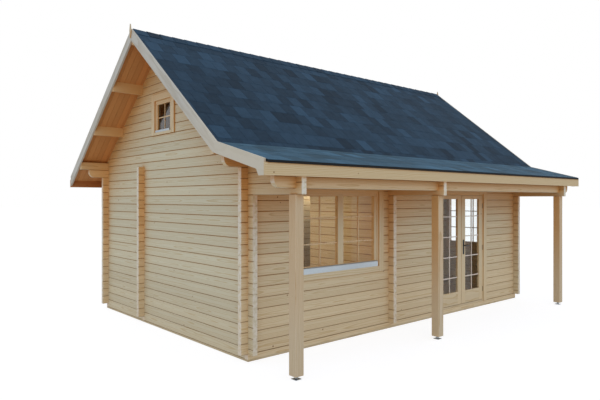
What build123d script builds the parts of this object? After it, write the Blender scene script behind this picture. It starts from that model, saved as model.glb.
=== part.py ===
"""Log cabin with a front porch, built of notched wall logs under a purlin roof.

Millimetres, +Z up. The front, with the porch and the double door, faces -Y. The origin lies on
the ground at the middle of the roof's outline.
"""

import os
from math import cos, radians, sin, sqrt, tan

from build123d import *

os.makedirs("parts", exist_ok=True)

# Fits and cuts
seam = 0.5  # between pieces that lie on or beside each other
seat = 0.3  # between the roof's layers, and round the glass
overrun = 60.0  # how far a cut runs past the piece it cuts
half_share = 0.5

# House body, over the outer faces of the walls
house_length = 6630.0
house_width = 4440.0
base_height = 25.0

# Wall logs
log_height = 135.0
log_thickness = 70.0
log_groove = 8.0  # bevel along each edge, two of which make the groove at a seam
log_end = 100.0  # how far a log runs past the wall that it crosses
wall_courses = 19  # whole logs in the long walls, above the half log at the bottom
plain_courses = 17  # of these, the ones with short ends
door_courses = 15
beam_courses = 3  # gable logs that run forward to carry the porch
bracket_end = 345.0  # how far the log under the eave log runs past the gable
bracket_round = 95.0

# Inner walls, from the left and front outer faces to their middles
middle_wall_reach = 2700.0
cross_wall_reach = 2915.0
cross_courses = 18
inner_door_width = 800.0
middle_door_reach = 2210.0
cross_door_reach = 2000.0

# Floor
floor_thickness = 28.0
floor_gap = 4.0
joist_width = 45.0
joist_count = 8

# Roof
roof_pitch = radians(38.6)
porch_pitch = radians(15.0)
kink_reach = 57.0  # from the front wall's face out to the fold between roof and porch roof
deck_thickness = 28.0
shingle_thickness = 32.0  # with the felt board under them
gable_overhang = 490.0
back_overhang = 400.0
drip = 10.0  # how far the shingles hang past the fascia
ridge_cap_width = 130.0
ridge_cap_thickness = 8.0
purlin_thickness = 70.0
purlin_height = 152.0
purlin_offsets = (755.0, 1535.0)  # from the ridge to each purlin's middle

# Boards along the roof's edges
board_thickness = 28.0
barge_width = 135.0
barge_heel = 120.0  # length of the squared foot at the barge's porch end
barge_heel_slant = 40.0
fascia_height = 135.0
finial_height = 210.0
finial_rise = 70.0  # above the barge boards' peak
finial_width = 46.0
finial_thickness = 18.0
finial_shoulder_share = 0.5

# Porch
porch_depth = 1000.0
post_reach = 870.0  # from the front wall's face out to the middle of the posts
post_size = 120.0
post_bevel = 5.0
foot_height = 43.0
foot_plate = 84.0
foot_plate_thickness = 6.0
foot_rod_radius = 10.0
foot_nut_radius = 19.0
foot_nut_height = 16.0
front_beam_end = 305.0

# Windows
frame_face = 40.0
sash_thickness = 56.0
sash_setback = 5.0
glass_thickness = 6.0
trim_width = 100.0
trim_thickness = 20.0
trim_lap = 5.0
drip_bar_height = 85.0
drip_bar_depth = 26.0

front_window_reach = 1618.5  # from the left outer face to the window's middle
front_window_width = 1625.0
front_window_first = 6  # long-wall course above which the opening starts
front_window_courses = 9
sash_stile = 55.0
sash_top_rail = 36.0
sash_bottom_rail = 137.0
front_bottom_trim = 85.0

right_window_reach = 930.0  # from the front outer face to the window's middle
right_window_width = 1300.0

attic_window_width = 540.0
attic_window_first = 22  # gable course
attic_window_courses = 4
attic_sash_rail = 24.0
attic_drip_bar_height = 32.0

# Double door
door_reach = 4686.0  # from the left outer face to the line where the leaves meet
leaf_width = 689.0
leaf_thickness = 42.0
leaf_side_gap = 6.0
leaf_meeting_gap = 10.0
leaf_floor_gap = 8.0
jamb_face = 45.0
threshold_height = 24.0
door_stile = 115.0
door_top_rail = 68.0
door_bottom_panel = 226.0
trim_reveal = 20.0
hinge_radius = 5.6
hinge_height = 90.0
hinge_height_shares = (0.1, 0.5, 0.9)
plate_height = 260.0
plate_width = 38.0
plate_thickness = 8.0
plate_round = 8.0
plate_rise = 1012.0  # from the leaf's lower edge to the plate's middle
lever_rise = 1042.0
lever_length = 130.0
lever_radius = 9.0
lever_standoff = 48.0

# Places worked out from the sizes above
front_reach = porch_depth + board_thickness + seat + drip
back_reach = back_overhang + board_thickness + seat + drip
left_x = -house_length / 2
right_x = house_length / 2
front_y = (front_reach - back_reach - house_width) / 2
back_y = front_y + house_width
ridge_y = front_y + house_width / 2
half_log = log_height * half_share
half_wall = log_thickness / 2
floor_z = base_height + half_log
eave_z = floor_z + wall_courses * log_height
middle_x = left_x + middle_wall_reach
cross_y = front_y + cross_wall_reach
post_y = front_y - post_reach
post_xs = (left_x + half_wall, middle_x, right_x - half_wall)
front_mid_y = front_y + half_wall
back_mid_y = back_y - half_wall
roof_left = left_x - gable_overhang
roof_length = house_length + 2 * gable_overhang
shingle_top = deck_thickness + shingle_thickness
fascia_front_y = front_y - porch_depth - board_thickness - seat
fascia_back_y = back_y + back_overhang + board_thickness + seat
on_floor = (Align.CENTER, Align.CENTER, Align.MIN)


def long_wall_z(course):
    """Height of the bottom of a long wall's course."""
    return floor_z + course * log_height


def gable_z(course):
    """Height of the bottom of a gable's course, half a log below the long wall's."""
    return base_height + course * log_height


def front_line(y, lift):
    """Height of the main roof's front slope, lifted square off its underside."""
    return eave_z + (y - front_y) * tan(roof_pitch) + lift / cos(roof_pitch)


def back_line(y, lift):
    """Height of the main roof's back slope, lifted square off its underside."""
    return eave_z + (back_y - y) * tan(roof_pitch) + lift / cos(roof_pitch)


def porch_line(y, lift):
    """Height of the porch roof, lifted square off its underside."""
    fold_y = front_y - kink_reach
    return front_line(fold_y, 0) + (y - fold_y) * tan(porch_pitch) + lift / cos(porch_pitch)


def apex(lift, side=0):
    """Point of a slope at the ridge; side is -1 for the front slope and 1 for the back one."""
    return (ridge_y + side * seat, front_line(ridge_y - seat * abs(side), lift))


def fold(lift, side=0):
    """Point on the mitre where the main roof folds into the porch roof; side -1 is the porch's."""
    reach = lift / cos((roof_pitch - porch_pitch) / 2)
    lean = (roof_pitch + porch_pitch) / 2
    y = front_y - kink_reach - reach * sin(lean)
    z = front_line(front_y - kink_reach, 0) + reach * cos(lean)
    return (y + side * seat, z + side * seat * tan(porch_pitch))


def outline(plane, points):
    """Closed straight-edged face on a plane."""
    with BuildSketch(plane) as face:
        with BuildLine():
            Polyline(*points, close=True)
        make_face()
    return face.sketch


def slope_faces(plane, lower, upper, front_end, back_end):
    """Cross-sections of one roof layer: the front slope, the porch slope and the back slope."""
    front = [fold(lower), apex(lower, -1), apex(upper, -1), fold(upper)]
    porch = [(front_end, porch_line(front_end, lower)), fold(lower, -1)]
    porch += [fold(upper, -1), (front_end, porch_line(front_end, upper))]
    back = [(back_end, back_line(back_end, lower)), apex(lower, 1)]
    back += [apex(upper, 1), (back_end, back_line(back_end, upper))]
    return [outline(plane, points) for points in (front, porch, back)]


def log_faces(plane, middle, first_z, count):
    """Sections of a stack of logs, each bevelled along its four edges."""
    heights = [first_z + (course + half_share) * log_height for course in range(count)]
    with BuildSketch(plane) as faces:
        with Locations(*[(middle, height) for height in heights]):
            Rectangle(log_thickness, log_height - seam)
        chamfer(faces.vertices(), length=log_groove)
    return faces.sketch


def lay_long_logs(middle_y, first, count, start_x, end_x):
    """Lay courses of logs that run along X."""
    faces = log_faces(Plane.YZ.offset(start_x), middle_y, long_wall_z(first), count)
    extrude(faces, amount=end_x - start_x)


def lay_gable_logs(middle_x, first, count, start_y, end_y):
    """Lay courses of logs that run along Y."""
    faces = log_faces(Plane.XZ.offset(-start_y), middle_x, gable_z(first), count)
    extrude(faces, amount=start_y - end_y)


def cut_notches(xs, ys, heights):
    """Notch logs from below, half a log deep, where they sit over the logs that they cross."""
    width = log_thickness + 2 * seam
    with Locations(*[(x, y, z) for x in xs for y in ys for z in heights]):
        Box(width, width, half_log + seam / 2, align=on_floor, mode=Mode.SUBTRACT)


def cut_box(low, high):
    """Cut away the box between two corners."""
    sizes = [b - a for a, b in zip(low, high)]
    with Locations(tuple((a + b) / 2 for a, b in zip(low, high))):
        Box(*sizes, mode=Mode.SUBTRACT)


def round_log_ends(low_x, high_x, bottom_z, middle_y):
    """Round the lower corner of both ends of a log that runs along X."""
    with BuildSketch(Plane.XZ.offset(-(middle_y + log_thickness))) as corners:
        with Locations((low_x, bottom_z), (high_x, bottom_z)):
            Rectangle(2 * bracket_round, 2 * bracket_round)
        inner = bracket_round
        with Locations((low_x + inner, bottom_z + inner), (high_x - inner, bottom_z + inner)):
            Circle(bracket_round, mode=Mode.SUBTRACT)
    extrude(corners.sketch, amount=2 * log_thickness, mode=Mode.SUBTRACT)


def cut_under_roof(start_x, end_x):
    """Cut walls off just below the roof's underside."""
    far_front = front_y - porch_depth - overrun
    far_back = back_y + back_overhang
    top = apex(0)[1] + overrun
    points = [(far_front, porch_line(far_front, -seat)), fold(-seat), apex(-seat)]
    points += [(far_back, back_line(far_back, -seat)), (far_back, top), (far_front, top)]
    faces = outline(Plane.YZ.offset(start_x), points)
    extrude(faces, amount=end_x - start_x, mode=Mode.SUBTRACT)


def ring(width, height, side, top, bottom):
    """Places and sizes of the two stiles and two rails of a frame, about its middle."""
    rail = width - 2 * side - 2 * seam
    stile_x = (width - side) / 2
    return (
        (-stile_x, 0, side, height),
        (stile_x, 0, side, height),
        (0, (height - top) / 2, rail, top),
        (0, (bottom - height) / 2, rail, bottom),
    )


def finish(piece, name):
    """Name a finished piece and write it."""
    piece.part.label = name
    export_step(piece.part, f"parts/{name}.step")


# Base beams, floor joists and floor boards
inner_width = house_width - 2 * log_thickness - 2 * seam
cross_left = left_x + log_thickness + seam
cross_right = middle_x - half_wall - seam

with BuildPart() as base_beams:
    with Locations((0, front_mid_y, 0), (0, back_mid_y, 0)):
        Box(house_length, log_thickness, base_height - seam, align=on_floor)
    with Locations(*[(x, ridge_y, 0) for x in post_xs]):
        Box(log_thickness, inner_width, base_height - seam, align=on_floor)
    with Locations(((cross_left + cross_right) / 2, cross_y, 0)):
        Box(cross_right - cross_left, log_thickness, base_height - seam, align=on_floor)
finish(base_beams, "base_beams")

room_lefts = (left_x + log_thickness, middle_x + half_wall)
room_rights = (middle_x - half_wall, right_x - log_thickness)
joist_pitch = (house_width - 2 * log_thickness - joist_width - 2 * seam) / (joist_count - 1)
joist_start = front_y + log_thickness + seam + joist_width / 2

with BuildPart() as floor_joists:
    for room_left, room_right in zip(room_lefts, room_rights):
        joist_middle = (room_left + room_right) / 2
        joist_ys = [joist_start + place * joist_pitch for place in range(joist_count)]
        with Locations(*[(joist_middle, y, 0) for y in joist_ys]):
            joist_length = room_right - room_left - 2 * seam
            Box(joist_length, joist_width, floor_z - floor_thickness - seam, align=on_floor)
finish(floor_joists, "floor_joists")

room_boxes = (
    (room_lefts[0], room_rights[0], front_y + log_thickness, cross_y - half_wall),
    (room_lefts[0], room_rights[0], cross_y + half_wall, back_y - log_thickness),
    (room_lefts[1], room_rights[1], front_y + log_thickness, back_y - log_thickness),
)
with BuildPart() as floor_boards:
    for low_x, high_x, low_y, high_y in room_boxes:
        with Locations(((low_x + high_x) / 2, (low_y + high_y) / 2, floor_z - floor_thickness)):
            floor_length = high_x - low_x - 2 * floor_gap
            Box(floor_length, high_y - low_y - 2 * floor_gap, floor_thickness, align=on_floor)
finish(floor_boards, "floor_boards")

# Front wall: a half log, logs either side of the door, and whole logs over it
door_x = left_x + door_reach
door_half = leaf_width + leaf_meeting_gap / 2 + leaf_side_gap + jamb_face + seam
door_head_z = long_wall_z(door_courses)
window_x = left_x + front_window_reach
window_half = front_window_width / 2
window_low_z = long_wall_z(front_window_first)
window_high_z = long_wall_z(front_window_first + front_window_courses)
plain_notches = [long_wall_z(course) for course in range(door_courses)]

with BuildPart() as front_sill_log:
    with Locations((0, front_mid_y, base_height)):
        Box(house_length, log_thickness, half_log - seam, align=on_floor)
finish(front_sill_log, "front_sill_log")

with BuildPart() as front_wall_left:
    lay_long_logs(front_mid_y, 0, door_courses, left_x - log_end, door_x - door_half)
    cut_notches(post_xs[:2], (front_mid_y,), plain_notches)
    cut_box(
        (window_x - window_half, front_y - overrun, window_low_z),
        (window_x + window_half, front_y + log_thickness + overrun, window_high_z),
    )
finish(front_wall_left, "front_wall_left")

with BuildPart() as front_wall_right:
    lay_long_logs(front_mid_y, 0, door_courses, door_x + door_half, right_x + log_end)
    cut_notches(post_xs[2:], (front_mid_y,), plain_notches)
finish(front_wall_right, "front_wall_right")


def lay_wall_top(middle_y, first):
    """Lay a long wall's whole logs from a course up, with the bracket log and the eave log."""
    lay_long_logs(middle_y, first, plain_courses - first, left_x - log_end, right_x + log_end)
    bracket_left = left_x - bracket_end
    bracket_right = right_x + bracket_end
    lay_long_logs(middle_y, plain_courses, 1, bracket_left, bracket_right)
    round_log_ends(bracket_left, bracket_right, long_wall_z(plain_courses), middle_y)
    eave_courses = wall_courses - plain_courses - 1
    eave_left = roof_left + seam
    lay_long_logs(middle_y, plain_courses + 1, eave_courses, eave_left, -eave_left)
    heights = [long_wall_z(course) for course in range(first, wall_courses)]
    cut_notches(post_xs, (middle_y,), heights)


with BuildPart() as front_wall_head:
    lay_wall_top(front_mid_y, door_courses)
finish(front_wall_head, "front_wall_head")

# Back wall
with BuildPart() as back_wall:
    with Locations((0, back_mid_y, base_height)):
        Box(house_length, log_thickness, half_log - seam, align=on_floor)
    lay_wall_top(back_mid_y, 0)
finish(back_wall, "back_wall")

# Gable walls, whose beam logs run forward to the porch posts
low_courses = wall_courses
top_courses = int((apex(0)[1] - gable_z(low_courses)) / log_height) + 1
beam_first = door_courses
beam_end_y = front_y - porch_depth
purlin_places = [0] + [side * offset for offset in purlin_offsets for side in (-1, 1)]


def purlin_bottom(offset):
    """Height of a purlin's flat underside, below the roof at the purlin's high side."""
    high_y = ridge_y - max(abs(offset) - purlin_thickness / 2, 0)
    return front_line(high_y, 0) - purlin_height


def lay_cross_log_wall(middle_x, crossed_ys):
    """Lay a wall of logs along Y up to the eaves, its beam logs run out over the porch."""
    plain_start = front_y - log_end
    wall_end = back_y + log_end
    lay_gable_logs(middle_x, 0, beam_first, plain_start, wall_end)
    lay_gable_logs(middle_x, beam_first, beam_courses, beam_end_y, wall_end)
    top_first = beam_first + beam_courses
    lay_gable_logs(middle_x, top_first, low_courses - top_first, plain_start, wall_end)
    cut_notches((middle_x,), crossed_ys, [gable_z(course) for course in range(low_courses)])
    cut_notches((middle_x,), (post_y,), (gable_z(beam_first + 1),))
    low_x = middle_x - log_thickness
    high_x = middle_x + log_thickness
    for low_y, high_y in ((plain_start - overrun, front_y), (back_y, wall_end + overrun)):
        cut_box((low_x, low_y, 0), (high_x, high_y, floor_z))


gables = (("left_gable_wall", post_xs[0], True), ("right_gable_wall", post_xs[2], False))
attic_low_z = gable_z(attic_window_first)
attic_high_z = gable_z(attic_window_first + attic_window_courses)
right_window_y = front_y + right_window_reach
right_half = right_window_width / 2

for gable_name, gable_x, meets_cross_wall in gables:
    gable_low = gable_x - log_thickness
    gable_high = gable_x + log_thickness
    crossed = (front_mid_y, cross_y, back_mid_y) if meets_cross_wall else (front_mid_y, back_mid_y)
    with BuildPart() as gable_wall:
        lay_cross_log_wall(gable_x, crossed)
        lay_gable_logs(gable_x, low_courses, top_courses, front_y, back_y)
        cut_notches((gable_x,), (front_mid_y, back_mid_y), (gable_z(low_courses),))
        for offset in purlin_places:
            purlin_low = purlin_bottom(offset) - seam
            slot_half = purlin_thickness / 2 + seam
            cut_box(
                (gable_low, ridge_y + offset - slot_half, purlin_low),
                (gable_high, ridge_y + offset + slot_half, purlin_low + purlin_height + overrun),
            )
        cut_box(
            (gable_low, ridge_y - attic_window_width / 2, attic_low_z),
            (gable_high, ridge_y + attic_window_width / 2, attic_high_z),
        )
        if not meets_cross_wall:
            cut_box(
                (gable_low, right_window_y - right_half, window_low_z),
                (gable_high, right_window_y + right_half, window_high_z),
            )
        cut_under_roof(gable_low, gable_high)
    finish(gable_wall, gable_name)

# Inner walls: one from front to back, one from the left gable to it
inner_head_z = gable_z(beam_first)
inner_half = inner_door_width / 2
middle_door_y = front_y + middle_door_reach
cross_door_x = left_x + cross_door_reach

with BuildPart() as middle_wall:
    lay_cross_log_wall(middle_x, (front_mid_y, cross_y, back_mid_y))
    cut_box(
        (middle_x - log_thickness, middle_door_y - inner_half, floor_z),
        (middle_x + log_thickness, middle_door_y + inner_half, inner_head_z),
    )
    cut_under_roof(middle_x - log_thickness, middle_x + log_thickness)
finish(middle_wall, "middle_wall")

cross_end_x = middle_x + half_wall + log_end
cross_sill_length = middle_x + half_wall - left_x
with BuildPart() as cross_wall:
    with Locations((left_x + cross_sill_length / 2, cross_y, base_height)):
        Box(cross_sill_length, log_thickness, half_log - seam, align=on_floor)
    lay_long_logs(cross_y, 0, cross_courses, left_x - log_end, cross_end_x)
    cross_notches = [long_wall_z(course) for course in range(cross_courses)]
    cut_notches(post_xs[:2], (cross_y,), cross_notches)
    cut_box(
        (cross_door_x - inner_half, cross_y - log_thickness, floor_z),
        (cross_door_x + inner_half, cross_y + log_thickness, door_head_z),
    )
finish(cross_wall, "cross_wall")

# Purlins, bevelled to the slope on top
with BuildPart() as purlins:
    for offset in purlin_places:
        low_y = ridge_y + offset - purlin_thickness / 2
        high_y = ridge_y + offset + purlin_thickness / 2
        bottom_z = purlin_bottom(offset)
        low_top = min(front_line(low_y, -seat), back_line(low_y, -seat))
        high_top = min(front_line(high_y, -seat), back_line(high_y, -seat))
        points = [(low_y, bottom_z), (high_y, bottom_z), (high_y, high_top), (low_y, low_top)]
        if offset == 0:
            points.insert(3, apex(-seat))
        extrude(outline(Plane.YZ.offset(roof_left + seam), points), amount=roof_length - 2 * seam)
finish(purlins, "purlins")

# Roof decks and the shingles on them, one for each slope
deck_front = front_y - porch_depth
deck_back = back_y + back_overhang
layers = (
    ("deck", 0, deck_thickness, deck_front, deck_back),
    ("shingles", deck_thickness + seat, shingle_top, front_y - front_reach, back_y + back_reach),
)
for layer_name, layer_low, layer_high, layer_front, layer_back in layers:
    faces = slope_faces(Plane.YZ.offset(roof_left), layer_low, layer_high, layer_front, layer_back)
    for slope_name, face in zip(("front", "porch", "back"), faces):
        with BuildPart() as slope:
            extrude(face, amount=roof_length)
        finish(slope, f"{slope_name}_{layer_name}")

# Ridge cap
cap_low = shingle_top + seat
ridge_front = ridge_y - ridge_cap_width
ridge_back = ridge_y + ridge_cap_width
with BuildPart() as ridge_cap:
    cap_top = cap_low + ridge_cap_thickness
    points = [(ridge_front, front_line(ridge_front, cap_low)), apex(cap_low)]
    points += [(ridge_back, back_line(ridge_back, cap_low))]
    points += [(ridge_back, back_line(ridge_back, cap_top)), apex(cap_top)]
    points += [(ridge_front, front_line(ridge_front, cap_top))]
    extrude(outline(Plane.YZ.offset(roof_left), points), amount=roof_length)
finish(ridge_cap, "ridge_cap")

# Barge boards and fascias
fascia_front_top = porch_line(fascia_front_y, deck_thickness)
fascia_front_low = fascia_front_top - fascia_height
fascia_back_top = back_line(fascia_back_y, deck_thickness)
fascia_back_low = fascia_back_top - fascia_height
barge_low = shingle_top - barge_width
barge_front_end = fascia_front_y + board_thickness + seat
barge_back_end = fascia_back_y - board_thickness - seat
heel_y = fascia_front_y + barge_heel
heel_top_y = heel_y + barge_heel_slant

front_barge = [fold(barge_low), apex(barge_low, -1), apex(shingle_top, -1), fold(shingle_top)]
porch_barge = [(barge_front_end, porch_line(barge_front_end, shingle_top))]
porch_barge += [fold(shingle_top, -1), fold(barge_low, -1)]
porch_barge += [(heel_top_y, porch_line(heel_top_y, barge_low)), (heel_y, fascia_front_low)]
porch_barge += [(barge_front_end, fascia_front_low)]
back_barge = [apex(barge_low, 1), apex(shingle_top, 1)]
back_barge += [(barge_back_end, back_line(barge_back_end, shingle_top))]
back_barge += [(barge_back_end, back_line(barge_back_end, barge_low))]

barge_out = gable_overhang + seat + board_thickness
for side_name, barge_x in (("left", left_x - barge_out), ("right", right_x + gable_overhang + seat)):
    with BuildPart() as barge_boards:
        for points in (front_barge, porch_barge, back_barge):
            extrude(outline(Plane.YZ.offset(barge_x), points), amount=board_thickness)
    finish(barge_boards, f"{side_name}_barge_boards")

fascia_length = roof_length + 2 * (seat + board_thickness)
with BuildPart() as front_fascia:
    with Locations((0, fascia_front_y + board_thickness / 2, fascia_front_low)):
        Box(fascia_length, board_thickness, fascia_height, align=on_floor)
finish(front_fascia, "front_fascia")

with BuildPart() as back_fascia:
    with Locations((0, fascia_back_y - board_thickness / 2, fascia_back_low)):
        Box(fascia_length, board_thickness, fascia_height, align=on_floor)
finish(back_fascia, "back_fascia")

finial_top = apex(shingle_top)[1] + finial_rise
finial_bottom = finial_top - finial_height
finial_middle = finial_top - finial_height * finial_shoulder_share
finial_points = [(ridge_y, finial_bottom), (ridge_y + finial_width / 2, finial_middle)]
finial_points += [(ridge_y, finial_top), (ridge_y - finial_width / 2, finial_middle)]
finial_out = barge_out + seat + finial_thickness
with BuildPart() as finials:
    for finial_x in (left_x - finial_out, right_x + barge_out + seat):
        extrude(outline(Plane.YZ.offset(finial_x), finial_points), amount=finial_thickness)
finish(finials, "finials")

# Porch: front beam, posts and their feet
with BuildPart() as porch_beam:
    beam_left = left_x - front_beam_end
    beam_right = right_x + front_beam_end
    lay_long_logs(post_y, beam_first, 1, beam_left, beam_right)
    round_log_ends(beam_left, beam_right, long_wall_z(beam_first), post_y)
    cut_notches(post_xs, (post_y,), (long_wall_z(beam_first),))
finish(porch_beam, "porch_beam")

post_height = gable_z(beam_first) - seam - foot_height
for post_name, post_x in zip(("left", "middle", "right"), post_xs):
    with BuildPart() as post:
        with Locations((post_x, post_y, foot_height)):
            Box(post_size, post_size, post_height, align=on_floor)
        chamfer(post.edges().filter_by(Axis.Z), length=post_bevel)
    finish(post, f"{post_name}_post")

with BuildPart() as post_feet:
    rod_height = foot_height - seat
    for post_x in post_xs:
        with Locations((post_x, post_y, 0)):
            Box(foot_plate, foot_plate, foot_plate_thickness, align=on_floor)
            Cylinder(foot_rod_radius, rod_height, align=on_floor)
        with Locations((post_x, post_y, rod_height - foot_plate_thickness)):
            Box(foot_plate, foot_plate, foot_plate_thickness, align=on_floor)
        with BuildSketch(Plane.XY.offset((rod_height - foot_nut_height) / 2)) as nut_face:
            with Locations((post_x, post_y)):
                RegularPolygon(foot_nut_radius, side_count=6)
        extrude(nut_face.sketch, amount=foot_nut_height)
finish(post_feet, "post_feet")

# Windows: a frame in the opening, sashes in the frame and a sheet of glass in each sash
sash_y = front_y + sash_setback + sash_thickness / 2
front_window_z = (window_low_z + window_high_z) / 2
window_height = window_high_z - window_low_z
frame_height = window_height - 2 * seam
sash_height = frame_height - 2 * frame_face - 2 * seam
glass_height = sash_height - sash_top_rail - sash_bottom_rail - 2 * seat
glass_z = front_window_z + (sash_bottom_rail - sash_top_rail) / 2
right_wall_x = right_x - half_wall
right_sash_x = right_x - sash_setback - sash_thickness / 2
front_inner = front_window_width - 2 * seam - 2 * frame_face
sash_width = (front_inner - 3 * seam) / 2
sash_offset = (sash_width + seam) / 2
right_inner = right_window_width - 2 * seam - 2 * frame_face
right_sash_width = right_inner - 2 * seam

with BuildPart() as front_window_frame:
    for dx, dz, w, h in ring(front_window_width - 2 * seam, frame_height, *[frame_face] * 3):
        with Locations((window_x + dx, front_mid_y, front_window_z + dz)):
            Box(w, log_thickness, h)
finish(front_window_frame, "front_window_frame")

rails = (sash_stile, sash_top_rail, sash_bottom_rail)
sash_xs = (window_x - sash_offset, window_x + sash_offset)
with BuildPart() as front_window_sashes:
    for dx, dz, w, h in ring(sash_width, sash_height, *rails):
        with Locations(*[(x + dx, sash_y, front_window_z + dz) for x in sash_xs]):
            Box(w, sash_thickness, h)
finish(front_window_sashes, "front_window_sashes")

glass_width = sash_width - 2 * sash_stile - 2 * seat
with BuildPart() as front_window_glass:
    with Locations(*[(x, sash_y, glass_z) for x in sash_xs]):
        Box(glass_width, glass_thickness, glass_height)
finish(front_window_glass, "front_window_glass")

with BuildPart() as right_window_frame:
    for dy, dz, w, h in ring(right_window_width - 2 * seam, frame_height, *[frame_face] * 3):
        with Locations((right_wall_x, right_window_y + dy, front_window_z + dz)):
            Box(log_thickness, w, h)
finish(right_window_frame, "right_window_frame")

with BuildPart() as right_window_sash:
    for dy, dz, w, h in ring(right_sash_width, sash_height, *rails):
        with Locations((right_sash_x, right_window_y + dy, front_window_z + dz)):
            Box(sash_thickness, w, h)
finish(right_window_sash, "right_window_sash")

with BuildPart() as right_window_glass:
    with Locations((right_sash_x, right_window_y, glass_z)):
        Box(glass_thickness, right_sash_width - 2 * sash_stile - 2 * seat, glass_height)
finish(right_window_glass, "right_window_glass")

attic_z = (attic_low_z + attic_high_z) / 2
attic_height = attic_high_z - attic_low_z - 2 * seam
attic_width = attic_window_width - 2 * seam
attic_sash_width = attic_width - 2 * frame_face - 2 * seam
attic_sash_height = attic_height - 2 * frame_face - 2 * seam
attic_sash_out = sash_setback + sash_thickness / 2
attic_sash_xs = (left_x + attic_sash_out, right_x - attic_sash_out)

with BuildPart() as attic_window_frames:
    for dy, dz, w, h in ring(attic_width, attic_height, *[frame_face] * 3):
        with Locations(*[(x, ridge_y + dy, attic_z + dz) for x in (post_xs[0], post_xs[2])]):
            Box(log_thickness, w, h)
finish(attic_window_frames, "attic_window_frames")

with BuildPart() as attic_window_sashes:
    for dy, dz, w, h in ring(attic_sash_width, attic_sash_height, *[attic_sash_rail] * 3):
        with Locations(*[(x, ridge_y + dy, attic_z + dz) for x in attic_sash_xs]):
            Box(sash_thickness, w, h)
finish(attic_window_sashes, "attic_window_sashes")

attic_glass_width = attic_sash_width - 2 * attic_sash_rail - 2 * seat
attic_glass_height = attic_sash_height - 2 * attic_sash_rail - 2 * seat
with BuildPart() as attic_window_glass:
    with Locations(*[(x, ridge_y, attic_z) for x in attic_sash_xs]):
        Box(glass_thickness, attic_glass_width, attic_glass_height)
finish(attic_window_glass, "attic_window_glass")

# Trim boards on the outer faces round the windows and the door
trim_y = front_y - seat - trim_thickness / 2
trim_xs = (left_x - seat - trim_thickness / 2, right_x + seat + trim_thickness / 2)


def trim_ring(width, height, bottom):
    """Places and sizes of the trim boards round an opening, about its middle."""
    side_x = (width + trim_width) / 2 - trim_lap
    head = height / 2 + trim_width / 2 - trim_lap
    inner = width - 2 * trim_lap - 2 * seam
    return (
        (-side_x, trim_width / 2 - trim_lap / 2, trim_width, height + trim_width - trim_lap),
        (side_x, trim_width / 2 - trim_lap / 2, trim_width, height + trim_width - trim_lap),
        (0, head, inner, trim_width),
        (0, (bottom - height) / 2, inner, bottom),
    )


with BuildPart() as window_trims:
    for dx, dz, w, h in trim_ring(front_window_width, window_height, front_bottom_trim):
        with Locations((window_x + dx, trim_y, front_window_z + dz)):
            Box(w, trim_thickness, h)
    for dy, dz, w, h in trim_ring(right_window_width, window_height, front_bottom_trim):
        with Locations((trim_xs[1], right_window_y + dy, front_window_z + dz)):
            Box(trim_thickness, w, h)
    for dy, dz, w, h in trim_ring(attic_window_width, attic_height, frame_face):
        with Locations(*[(x, ridge_y + dy, attic_z + dz) for x in trim_xs]):
            Box(trim_thickness, w, h)
finish(window_trims, "window_trims")

bar_z = window_low_z + front_bottom_trim + seam + drip_bar_height / 2
attic_bar_z = attic_low_z + frame_face + seam + attic_drip_bar_height / 2
bar_inner = 2 * frame_face + 4 * seam
with BuildPart() as drip_bars:
    bar_y = front_y + sash_setback - seat - drip_bar_depth / 2
    with Locations(*[(x, bar_y, bar_z) for x in sash_xs]):
        Box(sash_width - 2 * seam, drip_bar_depth, drip_bar_height)
    with Locations((right_x - sash_setback + seat + drip_bar_depth / 2, right_window_y, bar_z)):
        Box(drip_bar_depth, right_window_width - bar_inner, drip_bar_height)
    bar_out = seat + drip_bar_depth / 2 - sash_setback
    with Locations((left_x - bar_out, ridge_y, attic_bar_z), (right_x + bar_out, ridge_y, attic_bar_z)):
        Box(drip_bar_depth, attic_window_width - bar_inner, attic_drip_bar_height)
finish(drip_bars, "drip_bars")

# Double door: frame, threshold, trim, two glazed leaves on hinges, and a lever handle
opening_half = door_half - seam
door_frame_height = door_head_z - seam - floor_z
leaf_low_z = floor_z + threshold_height + leaf_floor_gap
leaf_high_z = door_head_z - seam - jamb_face - leaf_side_gap
leaf_height = leaf_high_z - leaf_low_z
leaf_z = (leaf_low_z + leaf_high_z) / 2
leaf_y = front_y + leaf_thickness / 2
leaf_offset = (leaf_width + leaf_meeting_gap) / 2

with BuildPart() as door_frame:
    jamb_x = opening_half - jamb_face / 2
    with Locations((door_x - jamb_x, front_mid_y, floor_z), (door_x + jamb_x, front_mid_y, floor_z)):
        Box(jamb_face, log_thickness, door_frame_height, align=on_floor)
    clear_width = 2 * (opening_half - jamb_face - seam)
    with Locations((door_x, front_mid_y, door_head_z - seam - jamb_face)):
        Box(clear_width, log_thickness, jamb_face, align=on_floor)
    with Locations((door_x, front_mid_y, floor_z)):
        Box(clear_width, log_thickness, threshold_height, align=on_floor)
finish(door_frame, "door_frame")

with BuildPart() as door_trim:
    trim_x = opening_half - jamb_face + trim_reveal + trim_width / 2
    trim_height = door_head_z - floor_z - jamb_face + trim_reveal + trim_width
    with Locations((door_x - trim_x, trim_y, floor_z), (door_x + trim_x, trim_y, floor_z)):
        Box(trim_width, trim_thickness, trim_height, align=on_floor)
    with Locations((door_x, trim_y, floor_z + trim_height - trim_width)):
        Box(2 * trim_x - trim_width - 2 * seam, trim_thickness, trim_width, align=on_floor)
finish(door_trim, "door_trim")

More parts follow.
